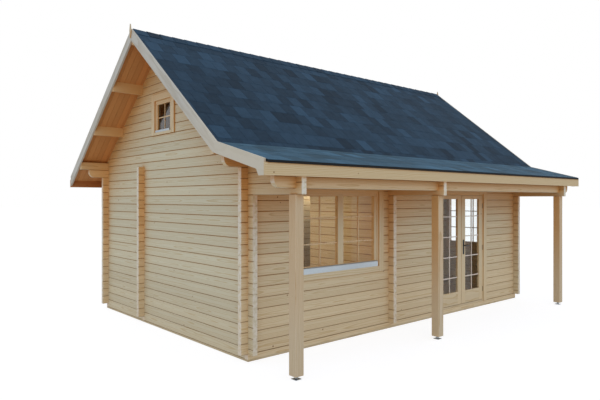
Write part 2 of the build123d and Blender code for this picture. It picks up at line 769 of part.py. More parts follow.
door_rails = (door_stile, door_top_rail, door_bottom_panel)
door_glass_width = leaf_width - 2 * door_stile - 2 * seat
door_glass_height = leaf_height - door_top_rail - door_bottom_panel - 2 * seat
door_glass_z = leaf_z + (door_bottom_panel - door_top_rail) / 2
for leaf_name, side in (("left", -1), ("right", 1)):
    leaf_x = door_x + side * leaf_offset
    with BuildPart() as door_leaf:
        for dx, dz, w, h in ring(leaf_width, leaf_height, *door_rails):
            with Locations((leaf_x + dx, leaf_y, leaf_z + dz)):
                Box(w, leaf_thickness, h)
    finish(door_leaf, f"door_leaf_{leaf_name}")
    with BuildPart() as door_glass:
        with Locations((leaf_x, leaf_y, door_glass_z)):
            Box(door_glass_width, glass_thickness, door_glass_height)
    finish(door_glass, f"door_glass_{leaf_name}")

hinge_x = leaf_width + leaf_meeting_gap / 2 + leaf_side_gap / 2
hinge_y = front_y - sqrt((hinge_radius + seat) ** 2 - (leaf_side_gap / 2) ** 2)
with BuildPart() as door_hinges:
    for share in hinge_height_shares:
        hinge_z = leaf_low_z + share * leaf_height
        with Locations(*[(door_x + side * hinge_x, hinge_y, hinge_z) for side in (-1, 1)]):
            Cylinder(hinge_radius, hinge_height)
finish(door_hinges, "door_hinges")

plate_x = door_x + leaf_meeting_gap / 2 + door_stile * half_share
plate_z = leaf_low_z + plate_rise
lever_z = leaf_low_z + lever_rise
with BuildPart() as door_handle:
    with BuildSketch(Plane.XZ.offset(-(front_y - seat))) as plate_face:
        with Locations((plate_x, plate_z)):
            RectangleRounded(plate_width, plate_height, plate_round)
    extrude(plate_face.sketch, amount=plate_thickness)
    with BuildSketch(Plane.XZ.offset(-(front_y - seat))) as neck_face:
        with Locations((plate_x, lever_z)):
            Circle(lever_radius)
    extrude(neck_face.sketch, amount=lever_standoff + lever_radius)
    with BuildSketch(Plane.YZ.offset(plate_x)) as lever_face:
        with Locations((front_y - seat - lever_standoff, lever_z)):
            Circle(lever_radius)
    extrude(lever_face.sketch, amount=lever_length)
finish(door_handle, "door_handle")

hinge_places = [(door_x + side * hinge_x, hinge_y) for side in (-1, 1)]
print("door hinge axes (mm):", hinge_places)
print("front wall face y:", front_y, "left wall face x:", left_x, "floor z:", floor_z)
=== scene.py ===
"""Looks of a log cabin with a front porch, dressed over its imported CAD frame.

Metres, +Z up. The porch and the double door face -Y, and +X runs along the front.
"""

import logging
import math
from collections.abc import Callable
from dataclasses import dataclass, replace
from enum import Enum

import bmesh
import bpy
import numpy as np
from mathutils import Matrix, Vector


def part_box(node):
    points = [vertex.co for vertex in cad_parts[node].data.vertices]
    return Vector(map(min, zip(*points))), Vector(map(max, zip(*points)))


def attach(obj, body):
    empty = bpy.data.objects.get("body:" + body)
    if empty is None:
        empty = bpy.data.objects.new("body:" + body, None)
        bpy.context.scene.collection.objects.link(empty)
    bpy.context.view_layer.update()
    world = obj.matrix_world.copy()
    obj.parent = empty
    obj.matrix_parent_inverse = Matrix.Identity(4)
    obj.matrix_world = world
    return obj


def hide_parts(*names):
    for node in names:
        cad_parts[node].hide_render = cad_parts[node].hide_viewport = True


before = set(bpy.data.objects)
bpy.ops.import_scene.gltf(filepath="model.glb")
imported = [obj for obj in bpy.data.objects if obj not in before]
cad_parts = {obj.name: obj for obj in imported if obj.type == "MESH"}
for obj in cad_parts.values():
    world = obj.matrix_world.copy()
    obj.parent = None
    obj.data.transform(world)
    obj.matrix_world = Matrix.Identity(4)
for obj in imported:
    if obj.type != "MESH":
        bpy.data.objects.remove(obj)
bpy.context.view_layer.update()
LOG = logging.getLogger("cabin")
MM = 0.001
TONE = "tone"
MID_TONE = 0.5
FELT_TONE = -1.0  # marks the felt under the shingle tabs
WHITE = (1.0, 1.0, 1.0, 1.0)

Material = bpy.types.Material
Node = bpy.types.Node
Object = bpy.types.Object
Socket = bpy.types.NodeSocket
Tree = bpy.types.NodeTree
Point = tuple[float, float, float]
Span = tuple[float, float]


class Run(Enum):
    """Direction that the grain or the length of a piece runs in."""

    X = 0
    Y = 1
    Z = 2


class Body(Enum):
    """Bodies of the part, by their names in the frame."""

    HOUSE = "house"
    LEFT_DOOR = "left_door"
    RIGHT_DOOR = "right_door"


class Side(Enum):
    """Slopes of the roof."""

    FRONT = "front"
    PORCH = "porch"
    BACK = "back"


def linear(colour: str) -> tuple[float, float, float, float]:
    """Turn an sRGB hex colour to linear.

    Args:
        colour: Hex colour with its hash sign.

    Returns:
        Linear red, green, blue and a full alpha.
    """
    parts = [int(colour[place : place + 2], 16) / 255 for place in (1, 3, 5)]
    lin = [p / 12.92 if p <= 0.04045 else ((p + 0.055) / 1.055) ** 2.4 for p in parts]
    return (lin[0], lin[1], lin[2], 1.0)


def add_node(
    tree: Tree, kind: str, inputs: dict[int | str, object] | None = None, **settings: object
) -> Node:
    """Add a node with its settings and links.

    Args:
        tree: Node tree that takes the node.
        kind: Blender's name of the node type, after ShaderNode.
        inputs: Value, or socket to link, for each input by name or number.
        settings: Properties of the node.

    Returns:
        The new node.
    """
    node = tree.nodes.new(f"ShaderNode{kind}")
    for name, value in settings.items():
        setattr(node, name, value)
    for key, value in (inputs or {}).items():
        if isinstance(value, Socket):
            tree.links.new(value, node.inputs[key])
        else:
            node.inputs[key].default_value = value
    return node


def show_background(tree: Tree) -> Socket:
    """Tell rays that show the surroundings, straight, mirrored or through glass.

    Args:
        tree: Node tree that takes the nodes.

    Returns:
        Socket that is 1 for such rays.
    """
    rays = add_node(tree, "LightPath").outputs
    seen = rays["Is Camera Ray"]
    for ray in ("Is Glossy Ray", "Is Transmission Ray"):
        seen = add_node(tree, "Math", {0: seen, 1: rays[ray]}, operation="MAXIMUM").outputs[0]
    return seen


@dataclass(frozen=True)
class Finish:
    """A finish that makes its own material."""

    def make(self, name: str) -> Material:
        """Make the material.

        Args:
            name: Its name.

        Returns:
            The material.
        """
        material = bpy.data.materials.new(name)
        material.use_nodes = True
        tree = material.node_tree
        place = add_node(tree, "TexCoord").outputs["Object"]
        self.paint(tree, tree.nodes["Principled BSDF"], place)
        return material

    def paint(self, tree: Tree, shader: Node, place: Socket) -> None:
        """Put the finish on the shader.

        Args:
            tree: Node tree that takes the nodes.
            shader: The Principled node.
            place: Object coordinates.
        """
        raise NotImplementedError


Rows = list[tuple[str, Finish, tuple[str, ...]]]


@dataclass(frozen=True)
class Spruce(Finish):
    """Planed spruce: pale, with growth rings, darker late wood, fine pores and brown knots."""

    early: str = "#d5c4a0"
    late: str = "#c5ad81"
    knot: str = "#80532c"
    ring_mm: float = 13.0  # real rings are 2 to 4 mm, drawn wider so that they show
    late_start: float = 0.55
    late_full: float = 0.9
    wander_mm: float = 20.0
    wander_scale: Point = (1.4, 7.0, 7.0)  # per metre along the grain and across it
    pore_mm: float = 4.0  # real pores are finer, drawn wider so that they show
    pore_along: float = 12.0
    pore_share: float = 0.1
    knot_gap_mm: float = 210.0
    knot_mm: float = 13.0
    knot_shrink: float = 0.6
    knot_rim: float = 1.15
    knot_heart: float = 0.75
    knot_share: float = 0.85
    pore_rise: float = 0.6
    ring_rise: float = -0.4
    relief_mm: float = 0.6
    relief_share: float = 0.25
    painted_shade_tint: str = "#ffd098"  # painted shade: sheltered corners, recesses and undersides turn orange and darker
    painted_shade_reach_m: float = 1.0
    painted_shade_rays: int = 6
    painted_shade_share: float = 2.0
    low_shade_share: float = 0.3
    shade_fade_low_z: float = 0.2  # the painted shade fades out towards the ground
    shade_fade_high_z: float = 2.2
    tone_share: float = 0.1
    roughness: float = 0.62
    gloss: float = 0.3

    def grain(
        self, tree: Tree, along: Socket, across: Socket, height: Socket, tone: float | Socket
    ) -> tuple[Socket, Socket]:
        """Draw the wood round a pith that runs through across = height = 0.

        Args:
            tree: Node tree that takes the nodes.
            along: Metres along the grain.
            across: Metres across it, one way.
            height: Metres across it, the other way.
            tone: How light the piece is, from 0 to 1.

        Returns:
            Colour and height of the surface.
        """
        place = add_node(tree, "CombineXYZ", {0: along, 1: across, 2: height}).outputs[0]
        drift = add_node(tree, "VectorMath", {
            0: place, 1: self.wander_scale,
        }, operation="MULTIPLY").outputs[0]
        wander = add_node(tree, "TexNoise", {"Vector": drift, "Scale": 1.0, "Detail": 2.0}).outputs["Fac"]
        reach = 2 * self.wander_mm * MM
        sway = add_node(tree, "Math", {
            0: wander, 1: reach, 2: -reach / 2,
        }, operation="MULTIPLY_ADD").outputs[0]
        flat = add_node(tree, "CombineXYZ", {1: across, 2: height}).outputs[0]
        radius = add_node(tree, "VectorMath", {0: flat}, operation="LENGTH").outputs["Value"]
        swayed = add_node(tree, "Math", {0: radius, 1: sway}, operation="ADD").outputs[0]
        turns = add_node(tree, "Math", {0: swayed, 1: self.ring_mm * MM}, operation="DIVIDE").outputs[0]
        ring = add_node(tree, "Math", {0: turns}, operation="FRACT").outputs[0]
        ramp = add_node(tree, "ValToRGB", {"Fac": ring})
        stops = ramp.color_ramp.elements
        for stop in stops:
            stop.color = linear(self.early)
        stops.new(self.late_start).color = linear(self.early)
        stops.new(self.late_full).color = linear(self.late)
        pore_scale = (self.pore_along, 1 / (self.pore_mm * MM), 1 / (self.pore_mm * MM))
        fine = add_node(tree, "VectorMath", {0: place, 1: pore_scale}, operation="MULTIPLY").outputs[0]
        pores = add_node(tree, "TexNoise", {"Vector": fine, "Scale": 1.0, "Detail": 1.0}).outputs["Fac"]
        cells = add_node(tree, "TexVoronoi", {"Vector": place, "Scale": 1 / (self.knot_gap_mm * MM)}).outputs
        chosen = add_node(tree, "SeparateColor", {0: cells["Color"]}).outputs[0]
        shrink = add_node(tree, "Math", {0: chosen, 1: self.knot_shrink}, operation="MULTIPLY").outputs[0]
        away = add_node(tree, "Math", {
            0: cells["Distance"], 1: self.knot_gap_mm / self.knot_mm, 2: shrink,
        }, operation="MULTIPLY_ADD").outputs[0]
        near = add_node(tree, "MapRange", {
            "Value": away, "From Min": self.knot_rim, "From Max": self.knot_heart, "To Max": self.knot_share,
        }, interpolation_type="SMOOTHSTEP").outputs[0]
        plain = 1 - (self.pore_share + self.tone_share) / 2
        own = add_node(tree, "Math", {
            0: tone, 1: self.tone_share, 2: plain,
        }, operation="MULTIPLY_ADD").outputs[0]
        value = add_node(tree, "Math", {
            0: pores, 1: self.pore_share, 2: own,
        }, operation="MULTIPLY_ADD").outputs[0]
        toned = add_node(tree, "HueSaturation", {"Value": value, "Color": ramp.outputs[0]}).outputs[0]
        colour = add_node(tree, "Mix", {0: near, 6: toned, 7: linear(self.knot)}, data_type="RGBA").outputs[2]
        dip = add_node(tree, "Math", {0: ring, 1: self.ring_rise}, operation="MULTIPLY").outputs[0]
        rise = add_node(tree, "Math", {
            0: pores, 1: self.pore_rise, 2: dip,
        }, operation="MULTIPLY_ADD").outputs[0]
        return colour, rise

    def fill(self, tree: Tree, shader: Node, above: Socket, colour: Socket, rise: Socket) -> None:
        """Put the wood's colour, a painted shade in sheltered places, gloss and fine relief on its shader.

        Args:
            tree: Node tree that takes the nodes.
            shader: The Principled node.
            above: Height above the ground.
            colour: Colour of the surface.
            rise: Height of the surface.
        """
        bump = add_node(tree, "Bump", {
            "Strength": self.relief_share, "Distance": self.relief_mm * MM, "Height": rise,
        }).outputs[0]
        # painted shade: where ambient occlusion finds other parts close by, the colour turns orange and
        # darker, less so near the ground
        sky = add_node(
            tree, "AmbientOcclusion", {"Distance": self.painted_shade_reach_m}, samples=self.painted_shade_rays
        ).outputs["AO"]
        occluded = add_node(tree, "Math", {0: 1.0, 1: sky}, operation="SUBTRACT").outputs[0]
        shade_by_height = add_node(tree, "MapRange", {
            "Value": above, "From Min": self.shade_fade_low_z, "From Max": self.shade_fade_high_z,
            "To Min": self.low_shade_share, "To Max": self.painted_shade_share,
        }, interpolation_type="SMOOTHSTEP").outputs[0]
        shade_amount = add_node(tree, "Math", {0: occluded, 1: shade_by_height}, operation="MULTIPLY").outputs[0]
        shaded_colour = add_node(tree, "Mix", {
            0: shade_amount, 6: colour, 7: linear(self.painted_shade_tint),
        }, data_type="RGBA", blend_type="MULTIPLY").outputs[2]
        tree.links.new(shaded_colour, shader.inputs["Base Color"])
        tree.links.new(bump, shader.inputs["Normal"])
        shader.inputs["Roughness"].default_value = self.roughness
        shader.inputs["Specular IOR Level"].default_value = self.gloss


@dataclass(frozen=True)
class LogWood(Spruce):
    """Wall logs of planed spruce, each with its own pith, so that its ends show round rings."""

    run: Run = Run.X
    middle: float = 0.0
    first_z: float = 0.0
    log_height: float = 0.135
    pith_up_mm: float = 50.0
    pith_aside_mm: float = 40.0
    log_shift: float = 7.3
    ends: str = "#e0dacd"
    end_facing: float = 0.9
    covered_z: float = 2.515  # the barge boards cover the log ends above this
    speckle_mm: float = 45.0
    speckle_span: Span = (0.38, 0.58)
    bleach_span: Span = (0.15, 0.7)
    # painted shade in the grooves between the logs
    groove: str = "#7a5633"
    groove_shade_mm: float = 4.5
    groove_shade_share: float = 0.6
    seed: float = 0.0

    def paint(self, tree: Tree, shader: Node, place: Socket) -> None:
        """Draw the logs of one wall, their pale ends and a painted shade in the grooves between them.

        Args:
            tree: Node tree that takes the nodes.
            shader: The Principled node.
            place: Object coordinates.
        """
        axes = add_node(tree, "SeparateXYZ", {0: place}).outputs
        half = self.log_height / 2
        lift = add_node(tree, "Math", {0: axes[2], 1: self.first_z}, operation="SUBTRACT").outputs[0]
        courses = add_node(tree, "Math", {0: lift, 1: self.log_height}, operation="DIVIDE").outputs[0]
        course = add_node(tree, "Math", {0: courses}, operation="FLOOR").outputs[0]
        number = add_node(tree, "Math", {0: course, 1: self.seed}, operation="ADD").outputs[0]
        draw = add_node(tree, "TexWhiteNoise", {"W": number}, noise_dimensions="1D").outputs["Color"]
        chance = add_node(tree, "SeparateColor", {0: draw}).outputs
        core = add_node(tree, "Math", {
            0: course, 1: self.log_height, 2: half,
        }, operation="MULTIPLY_ADD").outputs[0]
        height = add_node(tree, "Math", {0: lift, 1: core}, operation="SUBTRACT").outputs[0]
        off = add_node(tree, "Math", {0: height}, operation="ABSOLUTE").outputs[0]
        edge = half - self.groove_shade_mm * MM
        groove = add_node(tree, "Math", {0: off, 1: edge}, operation="GREATER_THAN").outputs[0]
        up = self.pith_up_mm * MM
        pith_up = add_node(tree, "Math", {
            0: chance[0], 1: up, 2: -up / 2,
        }, operation="MULTIPLY_ADD").outputs[0]
        height = add_node(tree, "Math", {0: height, 1: pith_up}, operation="ADD").outputs[0]
        aside = self.pith_aside_mm * MM
        pith_aside = add_node(tree, "Math", {
            0: chance[1], 1: aside, 2: -self.middle - aside / 2,
        }, operation="MULTIPLY_ADD").outputs[0]
        across = add_node(tree, "Math", {
            0: axes[1 - self.run.value], 1: pith_aside,
        }, operation="ADD").outputs[0]
        along = add_node(tree, "Math", {
            0: course, 1: self.log_shift, 2: axes[self.run.value],
        }, operation="MULTIPLY_ADD").outputs[0]
        colour, rise = self.grain(tree, along, across, height, chance[2])
        normal = add_node(tree, "NewGeometry").outputs["True Normal"]
        facing = add_node(tree, "SeparateXYZ", {0: normal}).outputs[self.run.value]
        square = add_node(tree, "Math", {0: facing}, operation="ABSOLUTE").outputs[0]
        end = add_node(tree, "Math", {0: square, 1: self.end_facing}, operation="GREATER_THAN").outputs[0]
        bare = add_node(tree, "Math", {0: axes[2], 1: self.covered_z}, operation="LESS_THAN").outputs[0]
        bare_end = add_node(tree, "Math", {0: end, 1: bare}, operation="MULTIPLY").outputs[0]
        speckle = add_node(tree, "TexNoise", {
            "Vector": place, "Scale": 1 / (self.speckle_mm * MM), "Detail": 3.0,
        }).outputs["Fac"]
        bleach = add_node(tree, "MapRange", {
            "Value": speckle, "From Min": self.speckle_span[0], "From Max": self.speckle_span[1],
            "To Min": self.bleach_span[0], "To Max": self.bleach_span[1],
        }).outputs[0]
        pale = add_node(tree, "Math", {0: bare_end, 1: bleach}, operation="MULTIPLY").outputs[0]
        colour = add_node(tree, "Mix", {
            0: pale, 6: colour, 7: linear(self.ends),
        }, data_type="RGBA").outputs[2]
        rest = add_node(
            tree, "Math", {0: self.groove_shade_share, 1: pale}, operation="SUBTRACT", use_clamp=True
        ).outputs[0]
        # painted shade: darker brown on the chamfers of the grooves, less on the pale log ends
        dark = add_node(tree, "Math", {0: groove, 1: rest}, operation="MULTIPLY").outputs[0]
        colour = add_node(tree, "Mix", {
            0: dark, 6: colour, 7: linear(self.groove),
        }, data_type="RGBA").outputs[2]
        self.fill(tree, shader, axes[2], colour, rise)


@dataclass(frozen=True)
class PlankWood(Spruce):
    """Planed spruce boards and posts, sawn beside the pith, so that the rings are near straight lines."""

    run: Run = Run.X
    off_pith_mm: float = 70.0
    own_tone: bool = False
    tone_shift: float = 9.7  # metres of another place in the tree, along the grain and across it
    tone_aside: float = 1.3

    def paint(self, tree: Tree, shader: Node, place: Socket) -> None:
        """Draw boards that all run one way.

        Args:
            tree: Node tree that takes the nodes.
            shader: The Principled node.
            place: Object coordinates.
        """
        axes = add_node(tree, "SeparateXYZ", {0: place}).outputs
        first, second = [axis for axis in range(3) if axis != self.run.value]
        tone = MID_TONE
        if self.own_tone:
            tone = add_node(tree, "Attribute", attribute_name=TONE).outputs["Fac"]
        along = add_node(tree, "Math", {
            0: tone, 1: self.tone_shift, 2: axes[self.run.value],
        }, operation="MULTIPLY_ADD").outputs[0]
        aside = add_node(tree, "Math", {
            0: tone, 1: self.tone_aside, 2: self.off_pith_mm * MM,
        }, operation="MULTIPLY_ADD").outputs[0]
        across = add_node(tree, "Math", {0: axes[first], 1: aside}, operation="ADD").outputs[0]
        colour, rise = self.grain(tree, along, across, axes[second], tone)
        self.fill(tree, shader, axes[2], colour, rise)


@dataclass(frozen=True)
class JoineryWood(Spruce):
    """Sanded spruce frames: upright grain in the stiles, level grain in the rails between them."""

    width_run: Run = Run.X
    middle: float = 0.0
    sash_offset: float = 0.0
    rail_half: float = 0.5
    off_pith_mm: float = 60.0
    tones_per_m: float = 4.0
    tone_turn: float = 0.37

    def paint(self, tree: Tree, shader: Node, place: Socket) -> None:
        """Draw a frame, or two like sashes.

        Args:
            tree: Node tree that takes the nodes.
            shader: The Principled node.
            place: Object coordinates.
        """
        axes = add_node(tree, "SeparateXYZ", {0: place}).outputs
        wide, deep, high = axes[self.width_run.value], axes[1 - self.width_run.value], axes[2]
        out = wide
        for middle in (self.middle, self.sash_offset):
            aside = add_node(tree, "Math", {0: out, 1: middle}, operation="SUBTRACT").outputs[0]
            out = add_node(tree, "Math", {0: aside}, operation="ABSOLUTE").outputs[0]
        stile = add_node(tree, "Math", {0: out, 1: self.rail_half}, operation="GREATER_THAN").outputs[0]
        along = add_node(tree, "Mix", {0: stile, 2: wide, 3: high}).outputs[0]
        across = add_node(tree, "Mix", {0: stile, 2: high, 3: wide}).outputs[0]
        depth = add_node(tree, "Math", {0: deep, 1: self.off_pith_mm * MM}, operation="ADD").outputs[0]
        steps = add_node(tree, "Math", {0: across, 1: self.tones_per_m}, operation="MULTIPLY").outputs[0]
        step = add_node(tree, "Math", {0: steps}, operation="FLOOR").outputs[0]
        turn = add_node(tree, "Math", {0: step, 1: self.tone_turn}, operation="MULTIPLY").outputs[0]
        tone = add_node(tree, "Math", {0: turn}, operation="FRACT").outputs[0]
        colour, rise = self.grain(tree, along, across, depth, tone)
        self.fill(tree, shader, high, colour, rise)


@dataclass(frozen=True)
class TrimWood(Spruce):
    """Planed trim boards round the windows of the front and of both gables."""

    front: Span = (-1.6965, 0.8075)  # middle, and half the length of the level boards
    right: Span = (-0.99, 0.645)
    attic: Span = (0.3, 0.265)
    gable_x: float = 3.31
    attic_z: float = 2.8

    def paint(self, tree: Tree, shader: Node, place: Socket) -> None:
        """Draw the upright boards and the level boards between them.

        Args:
            tree: Node tree that takes the nodes.
            shader: The Principled node.
            place: Object coordinates.
        """
        x, y, z = add_node(tree, "SeparateXYZ", {0: place}).outputs
        aside = add_node(tree, "Math", {0: x}, operation="ABSOLUTE").outputs[0]
        gable = add_node(tree, "Math", {0: aside, 1: self.gable_x}, operation="GREATER_THAN").outputs[0]
        high = add_node(tree, "Math", {0: z, 1: self.attic_z}, operation="GREATER_THAN").outputs[0]
        outs = []
        for wide, (middle, half) in ((x, self.front), (y, self.right), (y, self.attic)):
            off = add_node(tree, "Math", {0: wide, 1: middle}, operation="SUBTRACT").outputs[0]
            away = add_node(tree, "Math", {0: off}, operation="ABSOLUTE").outputs[0]
            outs.append(add_node(tree, "Math", {0: away, 1: half}, operation="SUBTRACT").outputs[0])
        out = add_node(tree, "Mix", {0: high, 2: outs[1], 3: outs[2]}).outputs[0]
        out = add_node(tree, "Mix", {0: gable, 2: outs[0], 3: out}).outputs[0]
        upright = add_node(tree, "Math", {0: out, 1: 0.0}, operation="GREATER_THAN").outputs[0]
        level = add_node(tree, "Mix", {0: gable, 2: x, 3: y}).outputs[0]
        depth = add_node(tree, "Mix", {0: gable, 2: y, 3: x}).outputs[0]
        along = add_node(tree, "Mix", {0: upright, 2: level, 3: z}).outputs[0]
        across = add_node(tree, "Mix", {0: upright, 2: z, 3: level}).outputs[0]
        colour, rise = self.grain(tree, along, across, depth, MID_TONE)
        self.fill(tree, shader, z, colour, rise)


@dataclass(frozen=True)
class Shingle(Finish):
    """Bitumen shingles: slate-blue mineral granules pressed into felt, matt, each tab its own shade."""

    dark: str = "#1b2b38"
    light: str = "#344e62"
    felt: str = "#0c0d0e"
    grit_mm: float = 6.0  # real granules are 1 to 2 mm, drawn coarser so that they show
    grit_share: float = 0.9
    blotch_mm: float = 90.0
    blotch_share: float = 0.5
    relief_mm: float = 1.0
    relief_share: float = 0.5
    roughness: float = 0.85
    gloss: float = 0.15

    def paint(self, tree: Tree, shader: Node, place: Socket) -> None:
        """Draw the granules, the shade of each tab and the felt.

        Args:
            tree: Node tree that takes the nodes.
            shader: The Principled node.
            place: Object coordinates.
        """
        tone = add_node(tree, "Attribute", attribute_name=TONE).outputs["Fac"]
        grit = add_node(tree, "TexNoise", {
            "Vector": place, "Scale": 1 / (self.grit_mm * MM), "Detail": 2.0,
        }).outputs["Fac"]
        blotch = add_node(tree, "TexNoise", {
            "Vector": place, "Scale": 1 / (self.blotch_mm * MM),
        }).outputs["Fac"]
        cloud = add_node(tree, "Math", {
            0: blotch, 1: self.blotch_share, 2: tone,
        }, operation="MULTIPLY_ADD").outputs[0]
        speck = add_node(tree, "Math", {
            0: grit, 1: self.grit_share, 2: cloud,
        }, operation="MULTIPLY_ADD").outputs[0]
        mean = (self.grit_share + self.blotch_share) / 2
        level = add_node(tree, "Math", {0: speck, 1: mean}, operation="SUBTRACT").outputs[0]
        colour = add_node(tree, "Mix", {
            0: level, 6: linear(self.dark), 7: linear(self.light),
        }, data_type="RGBA").outputs[2]
        under = add_node(tree, "Math", {0: tone, 1: FELT_TONE / 2}, operation="LESS_THAN").outputs[0]
        colour = add_node(tree, "Mix", {
            0: under, 6: colour, 7: linear(self.felt),
        }, data_type="RGBA").outputs[2]
        bump = add_node(tree, "Bump", {
            "Strength": self.relief_share, "Distance": self.relief_mm * MM, "Height": grit,
        }).outputs[0]
        tree.links.new(colour, shader.inputs["Base Color"])
        tree.links.new(bump, shader.inputs["Normal"])
        shader.inputs["Roughness"].default_value = self.roughness
        shader.inputs["Specular IOR Level"].default_value = self.gloss


@dataclass(frozen=True)
class Metal(Finish):
    """A metal surface, with the fine unevenness that its making leaves."""

    colour: str
    metallic: float
    roughness: float
    patch_mm: float
    patch_share: float = 0.12

    def paint(self, tree: Tree, shader: Node, place: Socket) -> None:
        """Draw the patches, each with its own shade and polish.

        Args:
            tree: Node tree that takes the nodes.
            shader: The Principled node.
            place: Object coordinates.
        """
        cells = add_node(tree, "TexVoronoi", {"Vector": place, "Scale": 1 / (self.patch_mm * MM)})
        chance = add_node(tree, "SeparateColor", {0: cells.outputs["Color"]}).outputs[0]
        patch = add_node(tree, "Math", {0: chance, 1: self.patch_share}, operation="MULTIPLY").outputs[0]
        value = add_node(tree, "Math", {0: patch, 1: 1 - self.patch_share / 2}, operation="ADD").outputs[0]
        colour = add_node(tree, "HueSaturation", {"Value": value, "Color": linear(self.colour)}).outputs[0]
        rough = add_node(tree, "Math", {0: patch, 1: self.roughness}, operation="ADD").outputs[0]
        tree.links.new(colour, shader.inputs["Base Color"])
        tree.links.new(rough, shader.inputs["Roughness"])
        shader.inputs["Metallic"].default_value = self.metallic


@dataclass(frozen=True)
class Pane(Finish):
    """Clear double glazing: smooth, with a faint green tint, and lamps shine through it."""

    tint: str = "#fafcfb"
    daylight: str = "#808080"  # by day the rooms behind look dark from outside
    roughness: float = 0.01
    ior: float = 1.22  # float glass has 1.5, lowered so that the white surroundings veil it less

    def paint(self, tree: Tree, shader: Node, place: Socket) -> None:
        """Make the glass, which has no pattern.

        Args:
            tree: Node tree that takes the nodes.
            shader: The Principled node.
            place: Object coordinates, not used.
        """
        shader.inputs["Base Color"].default_value = linear(self.tint)
        shader.inputs["Roughness"].default_value = self.roughness
        shader.inputs["IOR"].default_value = self.ior
        shader.inputs["Transmission Weight"].default_value = 1.0
        clear = add_node(tree, "BsdfTransparent", {"Color": linear(self.daylight)})
        ray = add_node(tree, "LightPath").outputs["Is Shadow Ray"]
        mix = add_node(tree, "MixShader", {0: ray, 1: shader.outputs[0], 2: clear.outputs[0]})
        tree.links.new(mix.outputs[0], tree.nodes["Material Output"].inputs["Surface"])


@dataclass(frozen=True)
class PaleFloor(Finish):
    """Matt white paper under the part: white to the eye, with a faint shadow, and little light thrown up."""

    paper: str = "#f4f4f4"
    bounced: str = "#b4b4b4"
    roughness: float = 0.9
    glow_strength: float = 1.2
    shadow_share: float = 0.3
    bounce_strength: float = 0.23

    def paint(self, tree: Tree, shader: Node, place: Socket) -> None:
        """Make the paper, which has no pattern.

        Args:
            tree: Node tree that takes the nodes.
            shader: The Principled node.
            place: Object coordinates, not used.
        """
        shader.inputs["Base Color"].default_value = linear(self.bounced)
        shader.inputs["Roughness"].default_value = self.roughness
        glow = add_node(tree, "Emission", {"Color": WHITE, "Strength": self.glow_strength}).outputs[0]
        paper = add_node(tree, "BsdfDiffuse", {"Color": linear(self.paper)}).outputs[0]
        seen = add_node(tree, "MixShader", {0: self.shadow_share, 1: glow, 2: paper}).outputs[0]
        bounce = add_node(tree, "Emission", {
            "Color": linear(self.paper), "Strength": self.bounce_strength,
        }).outputs[0]
        lit = add_node(tree, "AddShader", {0: shader.outputs[0], 1: bounce}).outputs[0]
        mix = add_node(tree, "MixShader", {0: show_background(tree), 1: lit, 2: seen}).outputs[0]
        tree.links.new(mix, tree.nodes["Material Output"].inputs["Surface"])


@dataclass(frozen=True)
class Blank:
    """A piece modelled once, ready to be copied: its points and its faces."""

    points: np.ndarray
    faces: list[tuple[int, ...]]


Copies = list[tuple[Blank, np.ndarray, float]]


def take_blank(obj: Object) -> Blank:
    """Read a modelled piece and clear it away.

    Args:
        obj: The piece.

    Returns:
        Its points and faces.
    """
    points = np.array([vertex.co for vertex in obj.data.vertices], float)
    faces = [tuple(face.vertices) for face in obj.data.polygons]
    mesh = obj.data
    bpy.data.objects.remove(obj)
    bpy.data.meshes.remove(mesh)
    return Blank(points, faces)


def start_block(size: Point, corner: Point) -> Object:
    """Add a block as the start of a piece.

    Args:
        size: Its sides.
        corner: Its lowest corner.

    Returns:
        The block, with its size and place in its mesh.
    """
    bpy.ops.object.select_all(action="DESELECT")
    middle = [low + side / 2 for low, side in zip(corner, size)]
    bpy.ops.mesh.primitive_cube_add(size=1.0, location=middle)
    obj = bpy.context.active_object
    obj.scale = size
    bpy.ops.object.transform_apply(location=True, rotation=True, scale=True)
    return obj


def bevel_edges(
    obj: Object, width: float, chosen: Callable[[Vector, Vector], bool], segments: int = 1
) -> None:
    """Bevel some edges of a piece.

    Args:
        obj: The piece.
        width: Width of the bevel.
        chosen: Test of an edge, given its two ends.
        segments: Faces across the bevel.
    """
    bpy.context.view_layer.objects.active = obj
    bpy.ops.object.mode_set(mode="EDIT")
    bpy.ops.mesh.select_all(action="DESELECT")
    mesh = bmesh.from_edit_mesh(obj.data)
    for edge in mesh.edges:
        edge.select = bool(chosen(edge.verts[0].co, edge.verts[1].co))
    mesh.select_flush_mode()
    bmesh.update_edit_mesh(obj.data)
    bpy.ops.mesh.bevel(offset=width, segments=segments, affect="EDGES")
    bpy.ops.object.mode_set(mode="OBJECT")


def set_heights(obj: Object, height: Callable[[Vector], float]) -> None:
    """Move the points of a piece up or down.

    Args:
        obj: The piece.
        height: New height of a point, given its place.
    """
    bpy.ops.object.mode_set(mode="EDIT")
    mesh = bmesh.from_edit_mesh(obj.data)
    for vertex in mesh.verts:
        vertex.co.z = height(vertex.co)
    bmesh.update_edit_mesh(obj.data)
    bpy.ops.object.mode_set(mode="OBJECT")


def make_piece(name: str, copies: Copies) -> Object:
    """Join placed copies into one piece, each copy with its own tone.

    Args:
        name: Name of the piece.
        copies: For each copy, the blank, its placed points and its tone.

    Returns:
        The piece.
    """
    points, faces, tones = [], [], []
    start = 0
    for blank, placed, tone in copies:
        points.append(placed)
        faces += [tuple(corner + start for corner in face) for face in blank.faces]
        tones += [tone] * len(placed)
        start += len(placed)
    mesh = bpy.data.meshes.new(name)
    mesh.from_pydata(np.concatenate(points).tolist(), [], faces)
    mesh.attributes.new(TONE, "FLOAT", "POINT").data.foreach_set("value", tones)
    mesh.validate()
    obj = bpy.data.objects.new(name, mesh)
    bpy.context.scene.collection.objects.link(obj)
    return obj


